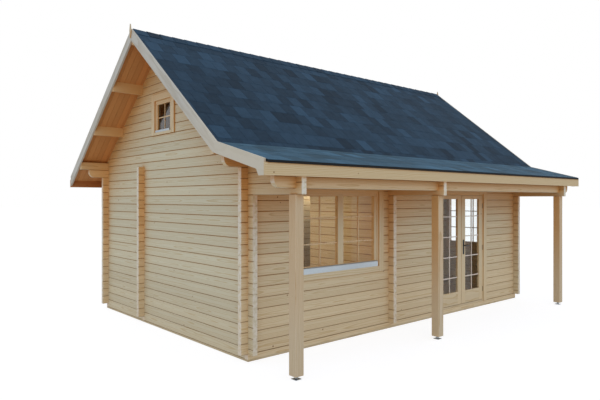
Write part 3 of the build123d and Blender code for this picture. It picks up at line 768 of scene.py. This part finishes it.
def settle(obj: Object, material: Material, body: Body, slot: str, *nodes: str) -> str:
    """Finish a piece: its material, the body that it rides on and the nodes that it stands for.

    Args:
        obj: The piece.
        material: Its finish.
        body: The body that it rides on.
        slot: Not used.
        nodes: CAD nodes that it stands for.

    Returns:
        Name of the piece.
    """
    obj.data.materials.clear()
    obj.data.materials.append(material)
    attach(obj, body.value)
    if nodes:
        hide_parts(*nodes)
    return obj.name


@dataclass(frozen=True)
class Slope:
    """One layer of one roof slope, by the corners of its section from the eave to the ridge."""

    low_under: Span
    high_under: Span
    high_over: Span
    low_over: Span
    thickness: float

    @property
    def length(self) -> float:
        """Length of the underside, from the eave up."""
        return math.dist(self.low_under, self.high_under)

    def lay(self, points: np.ndarray) -> np.ndarray:
        """Lay points on the slope.

        Args:
            points: Metres along the house, up the slope and off its underside.

        Returns:
            Their places in the part's frame.
        """
        up = np.clip(points[:, 1:2] / self.length, 0, 1)
        off = points[:, 2:3] / self.thickness
        under = (1 - up) * np.array(self.low_under) + up * np.array(self.high_under)
        over = (1 - up) * np.array(self.low_over) + up * np.array(self.high_over)
        return np.hstack([points[:, :1], (1 - off) * under + off * over])


@dataclass(frozen=True)
class RoofShape:
    """The folded gable roof: its lines, and the layers of its slopes."""

    front_y: float = -1.92
    back_y: float = 2.52
    eave_z: float = 2.6575
    pitch: float = math.radians(38.6)
    porch_pitch: float = math.radians(15.0)
    fold_reach: float = 0.057
    left: float = -3.805
    length: float = 7.61
    seam: float = 0.0003

    @property
    def ridge_y(self) -> float:
        """Place of the ridge."""
        return (self.front_y + self.back_y) / 2

    @property
    def fold_y(self) -> float:
        """Place where the underside of the front slope folds into the porch slope."""
        return self.front_y - self.fold_reach

    def front_z(self, y: float, lift: float) -> float:
        """Height of the front slope, lifted square off its underside."""
        return self.eave_z + (y - self.front_y) * math.tan(self.pitch) + lift / math.cos(self.pitch)

    def back_z(self, y: float, lift: float) -> float:
        """Height of the back slope, lifted square off its underside."""
        return self.eave_z + (self.back_y - y) * math.tan(self.pitch) + lift / math.cos(self.pitch)

    def porch_z(self, y: float, lift: float) -> float:
        """Height of the porch slope, lifted square off its underside."""
        rise = (y - self.fold_y) * math.tan(self.porch_pitch)
        return self.front_z(self.fold_y, 0.0) + rise + lift / math.cos(self.porch_pitch)

    def ridge(self, lift: float, side: int) -> Span:
        """Top of a slope: side is -1 for the front one and 1 for the back one."""
        return (self.ridge_y + side * self.seam, self.front_z(self.ridge_y - self.seam, lift))

    def fold(self, lift: float, gap: float = 0.0) -> Span:
        """Find a point on the mitre where the front slope folds into the porch slope.

        Args:
            lift: Lift off the underside.
            gap: Distance from the mitre, towards the porch.

        Returns:
            Its place and height.
        """
        reach = lift / math.cos((self.pitch - self.porch_pitch) / 2)
        lean = (self.pitch + self.porch_pitch) / 2
        y = self.fold_y - reach * math.sin(lean)
        z = self.front_z(self.fold_y, 0.0) + reach * math.cos(lean)
        return (y - gap, z - gap * math.tan(self.porch_pitch))

    def slopes(self, low: float, high: float, front_end: float, back_end: float) -> dict[Side, Slope]:
        """Work out one layer of the roof.

        Args:
            low: Lift of the layer's underside.
            high: Lift of its upper side.
            front_end: Place of its edge over the porch.
            back_end: Place of its edge at the back.

        Returns:
            The layer on each slope.
        """
        deep = high - low
        return {
            Side.FRONT: Slope(
                self.fold(low), self.ridge(low, -1), self.ridge(high, -1), self.fold(high), deep),
            Side.PORCH: Slope(
                (front_end, self.porch_z(front_end, low)), self.fold(low, self.seam),
                self.fold(high, self.seam), (front_end, self.porch_z(front_end, high)), deep),
            Side.BACK: Slope(
                (back_end, self.back_z(back_end, low)), self.ridge(low, 1),
                self.ridge(high, 1), (back_end, self.back_z(back_end, high)), deep),
        }


@dataclass(frozen=True)
class BargeWood(Spruce):
    """Planed spruce boards under the roof's edge, with the grain along each slope."""

    roof: RoofShape = RoofShape()
    porch_shift: float = 3.1
    porch_painted_light: str = "#cdc2aa"  # painted light: the boards are paler towards the porch end
    porch_light_share: float = 0.75
    porch_light_span: Span = (-1.2, -2.2)

    def paint(self, tree: Tree, shader: Node, place: Socket) -> None:
        """Draw the boards of both slopes and of the porch.

        Args:
            tree: Node tree that takes the nodes.
            shader: The Principled node.
            place: Object coordinates.
        """
        x, y, z = add_node(tree, "SeparateXYZ", {0: place}).outputs
        roof = self.roof
        off = add_node(tree, "Math", {0: y, 1: roof.ridge_y}, operation="SUBTRACT").outputs[0]
        away = add_node(tree, "Math", {0: off}, operation="ABSOLUTE").outputs[0]
        down = add_node(tree, "Math", {
            0: z, 1: roof.front_z(roof.ridge_y, 0.0),
        }, operation="SUBTRACT").outputs[0]
        main_off = add_node(tree, "Math", {
            0: away, 1: math.tan(roof.pitch), 2: down,
        }, operation="MULTIPLY_ADD").outputs[0]
        above = add_node(tree, "Math", {0: z, 1: roof.porch_z(0.0, 0.0)}, operation="SUBTRACT").outputs[0]
        porch_off = add_node(tree, "Math", {
            0: y, 1: -math.tan(roof.porch_pitch), 2: above,
        }, operation="MULTIPLY_ADD").outputs[0]
        folded = add_node(tree, "Math", {0: y, 1: roof.fold_y}, operation="LESS_THAN").outputs[0]
        lift = add_node(tree, "Mix", {0: folded, 2: main_off, 3: porch_off}).outputs[0]
        across = add_node(tree, "Math", {0: lift, 1: math.cos(roof.pitch)}, operation="MULTIPLY").outputs[0]
        along = add_node(tree, "Math", {
            0: folded, 1: self.porch_shift, 2: y,
        }, operation="MULTIPLY_ADD").outputs[0]
        colour, rise = self.grain(tree, along, across, x, MID_TONE)
        # painted light: the barge boards blend paler towards the porch end
        pale = add_node(tree, "MapRange", {
            "Value": y, "From Min": self.porch_light_span[0], "From Max": self.porch_light_span[1],
            "To Max": self.porch_light_share,
        }).outputs[0]
        colour = add_node(tree, "Mix", {
            0: pale, 6: colour, 7: linear(self.porch_painted_light),
        }, data_type="RGBA").outputs[2]
        self.fill(tree, shader, z, colour, rise)


@dataclass(frozen=True)
class DressedNodes:
    """CAD nodes that keep their shapes and get finishes."""

    def rows(self) -> Rows:
        """List the name of each material, its finish and the nodes that get it."""
        raise NotImplementedError

    def build(self) -> list[str]:
        """Dress the nodes.

        Returns:
            Their names.
        """
        dressed = []
        for name, finish, nodes in self.rows():
            material = finish.make(name)
            for node in nodes:
                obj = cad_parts[node]
                if not obj.material_slots:
                    obj.data.materials.append(material)
                for slot in obj.material_slots:
                    slot.material = material
            dressed += nodes
        return dressed


@dataclass(frozen=True)
class LogWalls(DressedNodes):
    """Log walls, each with its own draw of logs. Walls along Y lie half a course lower."""

    floor_z: float = 0.0925
    base_z: float = 0.025
    gable_lit_early: str = "#ccc3a5"  # painted light: the gables, open to the sky, get greyer and bluer colours than the walls under the porch
    gable_lit_late: str = "#bfad86"
    seed_step: float = 31.0
    walls: tuple[tuple[str, Run, float, tuple[str, ...]], ...] = (
        ("front_wall", Run.X, -1.885, (
            "front_sill_log", "front_wall_left", "front_wall_right", "front_wall_head")),
        ("back_wall", Run.X, 2.485, ("back_wall",)),
        ("cross_wall", Run.X, 0.995, ("cross_wall",)),
        ("porch_beam", Run.X, -2.79, ("porch_beam",)),
        ("left_gable", Run.Y, -3.28, ("left_gable_wall",)),
        ("right_gable", Run.Y, 3.28, ("right_gable_wall",)),
        ("middle_wall", Run.Y, -0.615, ("middle_wall",)),
    )

    def rows(self) -> Rows:
        """List the walls' finishes.

        Returns:
            For each wall, the name of its material, its finish and its nodes.
        """
        rows = []
        for place, (name, run, middle, nodes) in enumerate(self.walls):
            first_z = self.floor_z if run is Run.X else self.base_z
            finish = LogWood(run=run, middle=middle, first_z=first_z, seed=self.seed_step * place)
            if name.endswith("gable"):
                finish = replace(finish, early=self.gable_lit_early, late=self.gable_lit_late)
            rows.append((f"planed_spruce_{name}", finish, nodes))
        return rows


@dataclass(frozen=True)
class Woodwork(DressedNodes):
    """Boards, beams and posts round the walls, each kind with its own colours, painted light and painted
    shade.
    """

    front_fascia: PlankWood = PlankWood(early="#cdb78e", late="#ba9864")
    # painted shade: the back fascia, on the side away from the light, is a darker brown than the front one
    back_fascia: PlankWood = PlankWood(early="#ad8154", late="#8f6339")
    barge: BargeWood = BargeWood(early="#bfbaac", late="#b3ab99", painted_shade_share=0.7)
    # a long reach of the painted shade darkens the post sides that face into the porch
    upright: PlankWood = PlankWood(run=Run.Z, early="#cabb9d", late="#b79f78", painted_shade_reach_m=3.0)
    purlin: PlankWood = PlankWood()
    sawn: PlankWood = PlankWood(early="#c4b594", late="#a8946c")

    def rows(self) -> Rows:
        """List the finishes of the boards, beams and posts.

        Returns:
            For each material its name, its finish and its nodes.
        """
        return [
            ("planed_spruce_along_house", self.front_fascia, ("front_fascia",)),
            ("planed_spruce_back_fascia", self.back_fascia, ("back_fascia",)),
            ("planed_spruce_barge_boards", self.barge, ("left_barge_boards", "right_barge_boards")),
            ("planed_spruce_upright", self.upright, ("left_post", "middle_post", "right_post", "finials")),
            ("planed_spruce_purlins", self.purlin, ("purlins",)),
            ("sawn_treated_spruce", self.sawn, ("base_beams", "floor_joists")),
        ]


@dataclass(frozen=True)
class Joinery(DressedNodes):
    """Frames and sashes: the way of their width, their middle, the sashes' offset and half their rails."""

    frames: tuple[tuple[str, Run, float, float, float], ...] = (
        ("front_window_frame", Run.X, -1.6965, 0.0, 0.772),
        ("front_window_sashes", Run.X, -1.6965, 0.3859, 0.3306),
        ("right_window_frame", Run.Y, -0.99, 0.0, 0.6095),
        ("right_window_sash", Run.Y, -0.99, 0.0, 0.554),
        ("attic_window_frames", Run.Y, 0.3, 0.0, 0.2295),
        ("attic_window_sashes", Run.Y, 0.3, 0.0, 0.205),
        ("door_frame", Run.X, 1.371, 0.0, 0.7),
        ("door_leaf_left", Run.X, 1.371, 0.3495, 0.2295),
        ("door_leaf_right", Run.X, 1.371, 0.3495, 0.2295),
        ("door_trim", Run.X, 1.371, 0.0, 0.72),
    )

    def rows(self) -> Rows:
        """List the finishes of the windows, the door and their trim.

        Returns:
            For each node, the name of its material, its finish and its own name.
        """
        rows = []
        for node, run, middle, offset, half in self.frames:
            finish = JoineryWood(width_run=run, middle=middle, sash_offset=offset, rail_half=half)
            rows.append((f"sanded_spruce_{node}", finish, (node,)))
        rows.append(("sanded_spruce_window_trims", TrimWood(), ("window_trims",)))
        return rows


@dataclass(frozen=True)
class Fittings(DressedNodes):
    """Glass, post feet, hinges and handle."""

    clear: Pane = Pane()
    attic_shade_pane: Pane = Pane(tint="#777d80", ior=1.6)  # tinted grey: painted shade of the unlit loft behind it
    zinc: Metal = Metal("#9a9fa3", 1.0, 0.38, 14.0)  # dull grey, with the spangle of a zinc bath
    yellow_zinc: Metal = Metal("#8c7d62", 0.6, 0.5, 8.0)  # a thin brassy film over grey
    powder_coat: Metal = Metal("#17191a", 0.2, 0.4, 3.0, 0.1)  # an even, satin black skin

    def rows(self) -> Rows:
        """List the finishes of the glass and the metal.

        Returns:
            For each material its name, its finish and its nodes.
        """
        panes = ("front_window_glass", "right_window_glass", "door_glass_left", "door_glass_right")
        return [
            ("clear_float_glass", self.clear, panes),
            ("attic_glass_painted_dark", self.attic_shade_pane, ("attic_window_glass",)),
            ("hot_dip_galvanised_steel", self.zinc, ("post_feet",)),
            ("yellow_zinc_plated_steel", self.yellow_zinc, ("door_hinges",)),
            ("black_powder_coat", self.powder_coat, ("door_handle",)),
        ]


@dataclass(frozen=True)
class RainBars:
    """Aluminium bars over the lower rails of the sashes, rounded outside so that rain runs off.

    Each bar has the direction of its length, the side of the house, its lowest corner and its sides.
    """

    bars: tuple[tuple[Run, int, Point, Point], ...] = (
        (Run.X, -1, (-2.4675, -1.9413, 0.988), (0.7702, 0.026, 0.085)),
        (Run.X, -1, (-1.6957, -1.9413, 0.988), (0.7702, 0.026, 0.085)),
        (Run.Y, 1, (3.3103, -1.599, 0.988), (0.026, 1.218, 0.085)),
        (Run.Y, -1, (-3.3363, 0.071, 3.0355), (0.026, 0.458, 0.032)),
        (Run.Y, 1, (3.3103, 0.071, 3.0355), (0.026, 0.458, 0.032)),
    )
    nose: float = 0.02
    lip: float = 0.004
    segments: int = 5
    finish: Metal = Metal("#b4bec4", 0.85, 0.4, 30.0, 0.05)  # pale grey, with a soft even shine

    def model_bar(self, run: Run, side: int, corner: Point, size: Point) -> Blank:
        """Model one bar.

        Args:
            run: Direction of its length.
            side: -1 for a bar on the side towards lower values, 1 for the other.
            corner: Its lowest corner.
            size: Its sides.

        Returns:
            The bar, in its place.
        """
        obj = start_block(size, corner)
        out = 1 - run.value
        middle = corner[out] + size[out] / 2
        low, high = corner[2], corner[2] + size[2]

        def outer(a: Vector, b: Vector, level: float) -> bool:
            """Tell an edge along the outside at one height.

            Args:
                a: One end of the edge.
                b: Its other end.
                level: The height.

            Returns:
                True for such an edge.
            """
            flush = max(abs(a.z - level), abs(b.z - level)) < self.lip / 4
            long = abs(a[run.value] - b[run.value]) > size[out]
            return flush and long and min(side * (a[out] - middle), side * (b[out] - middle)) > 0

        bevel_edges(obj, self.nose, lambda a, b: outer(a, b, high), self.segments)
        bevel_edges(obj, self.lip, lambda a, b: outer(a, b, low), self.segments)
        return take_blank(obj)

    def build(self) -> list[str]:
        """Build all bars as one piece.

        Returns:
            Its name.
        """
        material = self.finish.make("satin_anodised_aluminium")
        copies = []
        for run, side, corner, size in self.bars:
            bar = self.model_bar(run, side, corner, size)
            copies.append((bar, bar.points, MID_TONE))
        piece = make_piece("window_rain_bars", copies)
        return [settle(piece, material, Body.HOUSE, "aluminium_bar", "drip_bars")]


@dataclass(frozen=True)
class RidgeShingles:
    """Shingles bent over the ridge, each one lapped by the next."""

    roof: RoofShape
    count: int = 36
    half_width: float = 0.13
    thickness: float = 0.0078
    thin_share: float = 0.4
    low: float = 0.0603
    edge_bevel: float = 0.0015
    tone_mean: float = 0.42
    tone_spread: float = 0.15
    seed: int = 13

    def model_cap(self) -> Blank:
        """Model one cap, still flat: a wedge along the ridge, with an edge where it is bent.

        Returns:
            The cap.
        """
        length = self.roof.length / self.count
        obj = start_block((length, 2 * self.half_width, self.thickness), (0.0, -self.half_width, 0.0))
        top = self.thickness / 2
        bevel_edges(obj, self.edge_bevel, lambda a, b: a.z > top and b.z > top)
        bpy.ops.object.mode_set(mode="EDIT")
        bpy.ops.mesh.select_all(action="SELECT")
        bpy.ops.mesh.bisect(plane_co=(0.0, 0.0, 0.0), plane_no=(0.0, 1.0, 0.0))
        bpy.ops.object.mode_set(mode="OBJECT")
        set_heights(obj, lambda co: co.z * (1.0 - (1.0 - self.thin_share) * co.x / length))
        return take_blank(obj)

    def build(self, material: Material) -> str:
        """Build the row of caps.

        Args:
            material: Their finish.

        Returns:
            Name of the piece.
        """
        draws = np.random.default_rng(self.seed)
        cap = self.model_cap()
        copies = []
        for place in range(self.count):
            x = cap.points[:, 0] + self.roof.left + place * self.roof.length / self.count
            away = cap.points[:, 1]
            z = self.roof.front_z(self.roof.ridge_y - np.abs(away), self.low + cap.points[:, 2])
            tone = float(np.clip(draws.normal(self.tone_mean, self.tone_spread), 0.0, 1.0))
            copies.append((cap, np.column_stack([x, self.roof.ridge_y + away, z]), tone))
        piece = make_piece("ridge_shingle_caps", copies)
        return settle(piece, material, Body.HOUSE, "bitumen_shingles", "ridge_cap")


@dataclass(frozen=True)
class ShingleRoof:
    """Caps over the ridge and courses of tabs on each slope, every other course shifted by half a tab."""

    roof: RoofShape
    tab_width: float = 0.2145
    slot_width: float = 0.003
    spare_tabs: int = 3  # these are cut off at the gables
    exposure: float = 0.2775
    underlay: float = 0.0278
    butt: float = 0.0035
    head: float = 0.0012
    sag: float = 0.0008
    edge_bevel: float = 0.0006
    first_joint: float = -3.222
    front_start: float = 0.0894
    low: float = 0.0283
    high: float = 0.060
    front_end: float = -2.9583
    back_end: float = 2.9583
    tone_mean: float = 0.42
    tone_spread: float = 0.2
    seed: int = 7
    finish: Shingle = Shingle()
    # painted sheen: the low porch slope is lighter and bluer, as the sky glances off it
    porch_sheen_finish: Shingle = Shingle(dark="#21404f", light="#41687e", gloss=0.3)

    def model_tab(self) -> Blank:
        """Model one tab: a thin wedge, thick at its lower edge, which is bevelled with its sides.

        Returns:
            The tab.
        """
        top = self.underlay + self.butt
        size = (self.tab_width - self.slot_width, self.exposure, self.butt)
        obj = start_block(size, (0.0, 0.0, self.underlay))
        thin = self.underlay + self.head
        set_heights(obj, lambda co: thin if co.y > self.exposure / 2 and co.z > top - self.head else co.z)
        over = self.underlay + self.head / 2
        reach = 1.5 * self.exposure  # leaves out the upper edge
        bevel_edges(obj, self.edge_bevel, lambda a, b: a.z > over and b.z > over and a.y + b.y < reach)
        return take_blank(obj)

    def model_sheet(self, slope: Slope) -> Blank:
        """Model the felt under the tabs of one slope, bevelled along its lower edge.

        Args:
            slope: The slope.

        Returns:
            The sheet, still flat.
        """
        half = self.roof.length / 2
        obj = start_block((self.roof.length, slope.length, self.underlay), (self.roof.left, 0.0, 0.0))
        bevel_edges(obj, self.edge_bevel, lambda a, b: abs(a.x - b.x) > half and a.z > 0 and a.y < MM)
        return take_blank(obj)

    def place_tabs(self, side: Side, slope: Slope, tab: Blank, draws: np.random.Generator) -> Copies:
        """Lay the tabs of one slope.

        Args:
            side: Name of the slope.
            slope: Its shingle layer.
            tab: The tab to copy.
            draws: Draws of the tabs' tones and heights.

        Returns:
            For each copy, the tab, its placed points and its tone.
        """
        copies = []
        right = self.roof.left + self.roof.length
        start = self.front_start - self.exposure if side is Side.FRONT else 0.0
        back = math.ceil((self.first_joint - self.roof.left) / self.tab_width + 1)
        for course in range(math.ceil((slope.length - start) / self.exposure)):
            first = self.first_joint + self.tab_width / 2 * (course % 2) - self.tab_width * back
            for place in range(math.ceil(self.roof.length / self.tab_width) + self.spare_tabs):
                tone = float(np.clip(draws.normal(self.tone_mean, self.tone_spread), 0.0, 1.0))
                lift = float(draws.uniform(-self.sag, 0.0))
                spot = np.array([first + place * self.tab_width, start + course * self.exposure, 0.0])
                placed = tab.points + spot
                placed[:, 0] = np.clip(placed[:, 0], self.roof.left, right)
                if np.ptp(placed[:, 0]) < self.slot_width:
                    continue
                placed[placed[:, 2] > self.underlay + self.head, 2] += lift
                copies.append((tab, slope.lay(placed), tone))
        return copies

    def build(self) -> list[str]:
        """Build the shingles of the ridge and of all slopes.

        Returns:
            Names of the pieces.
        """
        material = self.finish.make("slate_blue_bitumen_shingle")
        porch_sheen_material = self.porch_sheen_finish.make("slate_blue_bitumen_shingle_porch_sheen")
        pieces = [RidgeShingles(self.roof).build(material)]
        draws = np.random.default_rng(self.seed)
        tab = self.model_tab()
        layers = self.roof.slopes(self.low, self.high, self.front_end, self.back_end)
        for side, slope in layers.items():
            sheet = self.model_sheet(slope)
            copies = [(sheet, slope.lay(sheet.points), FELT_TONE)]
            copies += self.place_tabs(side, slope, tab, draws)
            piece = make_piece(f"{side.value}_shingle_tabs", copies)
            coat = porch_sheen_material if side is Side.PORCH else material
            pieces.append(settle(piece, coat, Body.HOUSE, "bitumen_shingles", f"{side.value}_shingles"))
        return pieces


@dataclass(frozen=True)
class RoofBoards:
    """Tongued roof boards that run up each slope, with a groove at each joint."""

    roof: RoofShape
    count: int = 85
    thickness: float = 0.028
    joint: float = 0.003
    groove: float = 0.006
    front_end: float = -2.92
    back_end: float = 2.92
    seed: int = 3
    # painted shade and bounce light under the eaves: a deeper orange than the other spruce, with a strong
    # sheltered tint
    finish: PlankWood = PlankWood(
        run=Run.Y, early="#cb9c64", late="#a8713c", painted_shade_share=1.35, tone_share=0.3, own_tone=True)

    def build(self) -> list[str]:
        """Build the boards of all slopes.

        Returns:
            Names of the pieces.
        """
        material = self.finish.make("planed_spruce_roof_boards")
        draws = np.random.default_rng(self.seed)
        pitch = self.roof.length / self.count
        half = self.thickness / 2
        pieces = []
        layers = self.roof.slopes(0.0, self.thickness, self.front_end, self.back_end)
        for side, slope in layers.items():
            obj = start_block((pitch - self.joint, slope.length, self.thickness), (0.0, 0.0, 0.0))
            bevel_edges(obj, self.groove, lambda a, b: a.z + b.z < half and abs(a.y - b.y) > pitch)
            board = take_blank(obj)
            copies = []
            for place in range(self.count):
                spot = np.array([self.roof.left + self.joint / 2 + place * pitch, 0.0, 0.0])
                copies.append((board, slope.lay(board.points + spot), float(draws.random())))
            piece = make_piece(f"{side.value}_roof_boards", copies)
            pieces.append(settle(piece, material, Body.HOUSE, "spruce_boards", f"{side.value}_deck"))
        return pieces


@dataclass(frozen=True)
class FloorBoards:
    """Floor boards of the three rooms, which run from front to back over the joists."""

    low_z: float = 0.0645
    thickness: float = 0.028
    board: float = 0.12
    joint: float = 0.0008
    groove: float = 0.0015
    rooms: tuple[tuple[float, float, float, float], ...] = (
        (-3.241, -0.654, -1.846, 0.956),
        (-3.241, -0.654, 1.034, 2.446),
        (-0.576, 3.241, -1.846, 2.446),
    )
    seed: int = 5
    finish: PlankWood = PlankWood(run=Run.Y, own_tone=True)

    def build(self) -> list[str]:
        """Build the boards of all rooms as one piece.

        Returns:
            Its name.
        """
        material = self.finish.make("planed_spruce_floor_boards")
        draws = np.random.default_rng(self.seed)
        middle = self.low_z + self.thickness / 2
        copies = []
        for left, right, front, back in self.rooms:
            count = round((right - left) / self.board)
            pitch = (right - left) / count
            obj = start_block((pitch - self.joint, back - front, self.thickness), (0.0, front, self.low_z))
            bevel_edges(obj, self.groove, lambda a, b: min(a.z, b.z) > middle and abs(a.y - b.y) > pitch)
            blank = take_blank(obj)
            for place in range(count):
                spot = np.array([left + self.joint / 2 + place * pitch, 0.0, 0.0])
                copies.append((blank, blank.points + spot, float(draws.random())))
        piece = make_piece("floor_board_rows", copies)
        return [settle(piece, material, Body.HOUSE, "spruce_boards", "floor_boards")]


@dataclass(frozen=True)
class GlazingBars:
    """Glazing bars on both faces of a pane: uprights in one length, level bars fitted between them."""

    node: str
    body: Body
    columns: int
    heights: tuple[float, ...]
    across: Run = Run.X
    width: float = 0.016
    depth: float = 0.005
    bevel: float = 0.0015
    seat: float = 0.0003
    upright_tone: float = 0.4
    level_tone: float = 0.6
    panes: tuple[Span, ...] = ()
    faces: tuple[tuple[float, int], ...] = ()

    def model_bar(self) -> Blank:
        """Model a bar one metre long, standing on a pane that faces -Y, with its outer edges bevelled.

        Returns:
            The bar.
        """
        obj = start_block((self.width, self.depth, 1.0), (-self.width / 2, -self.depth, 0.0))
        out = -self.depth / 2
        bevel_edges(obj, self.bevel, lambda a, b: max(a.y, b.y) < out and abs(a.z - b.z) > self.width)
        return take_blank(obj)

    def put(self, bar: Blank, face: float, side: int, start: Span, length: float, level: bool) -> np.ndarray:
        """Place a copy of the bar on one face of the pane.

        Args:
            bar: The bar.
            face: Place of the pane's face, square to the wall.
            side: -1 for the face towards lower values, 1 for the other.
            start: Place across the wall, and height, of the bar's first end.
            length: Length of the bar.
            level: True for a level bar.

        Returns:
            The placed points.
        """
        points = bar.points * np.array([1.0, 1.0, length])
        if level:
            points = points[:, [2, 1, 0]] * np.array([1.0, 1.0, -1.0])
        if side > 0:
            points = points * np.array([-1.0, -1.0, 1.0])
            points[:, 0] += length if level else 0.0
        points = points + np.array([start[0], face + side * self.seat, start[1]])
        return points if self.across is Run.X else points[:, [1, 0, 2]]

    def build(self, name: str, material: Material) -> str:
        """Build the bars of all panes of the node.

        Args:
            name: Name of the piece.
            material: Its finish.

        Returns:
            The name again.
        """
        bar = self.model_bar()
        wide = self.across.value
        low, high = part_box(self.node)
        panes = self.panes or ((low[wide], high[wide]),)
        copies = []
        for face, side in self.faces or ((low[1 - wide], -1), (high[1 - wide], 1)):
            for left, right in panes:
                pitch = (right - left) / self.columns
                uprights = [left + pitch * place for place in range(1, self.columns)]
                for place in uprights:
                    placed = self.put(bar, face, side, (place, low.z), high.z - low.z, False)
                    copies.append((bar, placed, self.upright_tone))
                ends = [left] + [place + self.width / 2 for place in uprights]
                stops = [place - self.width / 2 for place in uprights] + [right]
                for level in self.heights:
                    for start, stop in zip(ends, stops):
                        placed = self.put(bar, face, side, (start, level), stop - start, True)
                        copies.append((bar, placed, self.level_tone))
        obj = make_piece(name, copies)
        bpy.ops.object.select_all(action="DESELECT")
        obj.select_set(True)
        bpy.context.view_layer.objects.active = obj
        bpy.ops.object.mode_set(mode="EDIT")
        bpy.ops.mesh.select_all(action="SELECT")
        bpy.ops.mesh.normals_make_consistent(inside=False)
        bpy.ops.object.mode_set(mode="OBJECT")
        return settle(obj, material, self.body, "joinery")


@dataclass(frozen=True)
class Glazing:
    """The glazing bars of the windows and of both door leaves."""

    window_levels: tuple[float, ...] = (1.383, 1.739)
    door_levels: tuple[float, ...] = (0.606, 0.972, 1.33, 1.688)
    between_panes: float = 0.1111
    attic_glass: float = 0.006
    window_finish: PlankWood = PlankWood(run=Run.Z, early="#d8c29c", late="#c7aa7c", own_tone=True)
    door_finish: PlankWood = PlankWood(
        run=Run.Z, early="#e2d9ca", late="#d3c6b2", painted_shade_share=0.4, own_tone=True)

    def build(self) -> list[str]:
        """Build the bars of each window and leaf.

        Returns:
            Names of the pieces.
        """
        finish = self.window_finish.make("sanded_spruce_window_bars")
        pale = self.door_finish.make("sanded_spruce_door_bars")
        low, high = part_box("front_window_glass")
        pane = (high.x - low.x - self.between_panes) / 2
        sashes = ((low.x, low.x + pane), (high.x - pane, high.x))
        low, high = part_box("attic_window_glass")
        left_faces = ((low.x, -1), (low.x + self.attic_glass, 1))
        right_faces = ((high.x - self.attic_glass, -1), (high.x, 1))
        attic_levels = ((low.z + high.z) / 2,)
        front = GlazingBars("front_window_glass", Body.HOUSE, 2, self.window_levels, panes=sashes)
        right = GlazingBars("right_window_glass", Body.HOUSE, 4, self.window_levels, Run.Y)
        attic = GlazingBars(
            "attic_window_glass", Body.HOUSE, 2, attic_levels, Run.Y, faces=left_faces + right_faces)
        left_door = GlazingBars("door_glass_left", Body.LEFT_DOOR, 2, self.door_levels)
        right_door = GlazingBars("door_glass_right", Body.RIGHT_DOOR, 2, self.door_levels)
        return [
            front.build("front_window_bars", finish),
            right.build("right_window_bars", finish),
            attic.build("attic_window_bars", finish),
            left_door.build("left_door_bars", pale),
            right_door.build("right_door_bars", pale),
        ]


@dataclass(frozen=True)
class Studio:
    """White surroundings, soft light, lamps in the rooms, and the camera of the photograph.

    Each lamp has its name, its place, its power in watts and its size.
    """

    camera_place: Point = (-7.212, -7.366, 2.0)
    camera_turn: Point = (math.radians(90.0), 0.0, math.radians(-41.058))
    lens: float = 32.61
    image_width: int = 600
    horizon_shift: float = -1.0
    sky: str = "#e4edff"
    sky_strength: float = 0.87
    sun_strength: float = 0.45
    sun_spread: float = math.radians(60.0)
    sun_turn: Point = (math.radians(62.0), 0.0, math.radians(-42.0))
    sun_colour: Point = (1.0, 0.98, 0.95)
    room_lamps: tuple[tuple[str, Point, float, float], ...] = (
        ("left_room_lamp", (-2.0, -0.4, 2.3), 21.0, 1.6),
        ("back_room_lamp", (-2.0, 1.75, 2.3), 12.0, 1.6),
        ("main_room_lamp", (1.55, 2.05, 2.2), 6.0, 0.7),
    )
    room_colour: Point = (1.0, 0.86, 0.68)
    floor_size: float = 240.0
    floor_drop: float = 0.002

    def light(self) -> None:
        """Light the cabin from the sky, with one soft sun and with a lamp in each room."""
        world = bpy.data.worlds.new("white_sky")
        world.use_nodes = True
        bpy.context.scene.world = world
        tree = world.node_tree
        sky = tree.nodes["Background"]
        sky.inputs["Color"].default_value = linear(self.sky)
        sky.inputs["Strength"].default_value = self.sky_strength
        white = add_node(tree, "Background", {"Strength": 1.0, "Color": WHITE})
        mix = add_node(tree, "MixShader", {0: show_background(tree), 1: sky.outputs[0], 2: white.outputs[0]})
        tree.links.new(mix.outputs[0], tree.nodes["World Output"].inputs["Surface"])
        lamp = bpy.data.lights.new("soft_sun", "SUN")
        lamp.energy = self.sun_strength
        lamp.angle = self.sun_spread
        lamp.color = self.sun_colour
        sun = bpy.data.objects.new("soft_sun", lamp)
        sun.rotation_euler = self.sun_turn
        bpy.context.scene.collection.objects.link(sun)
        for name, place, power, size in self.room_lamps:
            glow = bpy.data.lights.new(name, "AREA")
            glow.energy = power
            glow.size = size
            glow.color = self.room_colour
            panel = bpy.data.objects.new(name, glow)
            panel.location = place
            bpy.context.scene.collection.objects.link(panel)

    def lay_floor(self) -> None:
        """Lay the pale floor, which keeps a faint shadow."""
        bpy.ops.object.select_all(action="DESELECT")
        bpy.ops.mesh.primitive_plane_add(size=self.floor_size, location=(0.0, 0.0, -self.floor_drop))
        floor = bpy.context.active_object
        floor.name = "floor"
        floor.data.materials.append(PaleFloor().make("pale_floor"))

    def shoot(self) -> None:
        """Stand the camera where the photograph was taken."""
        data = bpy.data.cameras.new("camera")
        data.lens = self.lens
        data.sensor_fit = "HORIZONTAL"
        data.shift_y = self.horizon_shift / self.image_width
        camera = bpy.data.objects.new("camera", data)
        camera.location = self.camera_place
        camera.rotation_euler = self.camera_turn
        bpy.context.scene.collection.objects.link(camera)
        bpy.context.scene.camera = camera
        bpy.context.scene.view_settings.view_transform = "Standard"


def main() -> None:
    """Build the cabin in order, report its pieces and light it."""
    logging.basicConfig(level=logging.INFO)
    roof = RoofShape()
    assemblies = (
        LogWalls(), Woodwork(), Joinery(), Fittings(), RainBars(),
        ShingleRoof(roof), RoofBoards(roof), FloorBoards(), Glazing(),
    )
    for assembly in assemblies:
        for piece in assembly.build():
            LOG.info("%s: %s", type(assembly).__name__, piece)
    studio = Studio()
    studio.light()
    studio.lay_floor()
    studio.shoot()


if __name__ == "__main__":
    main()
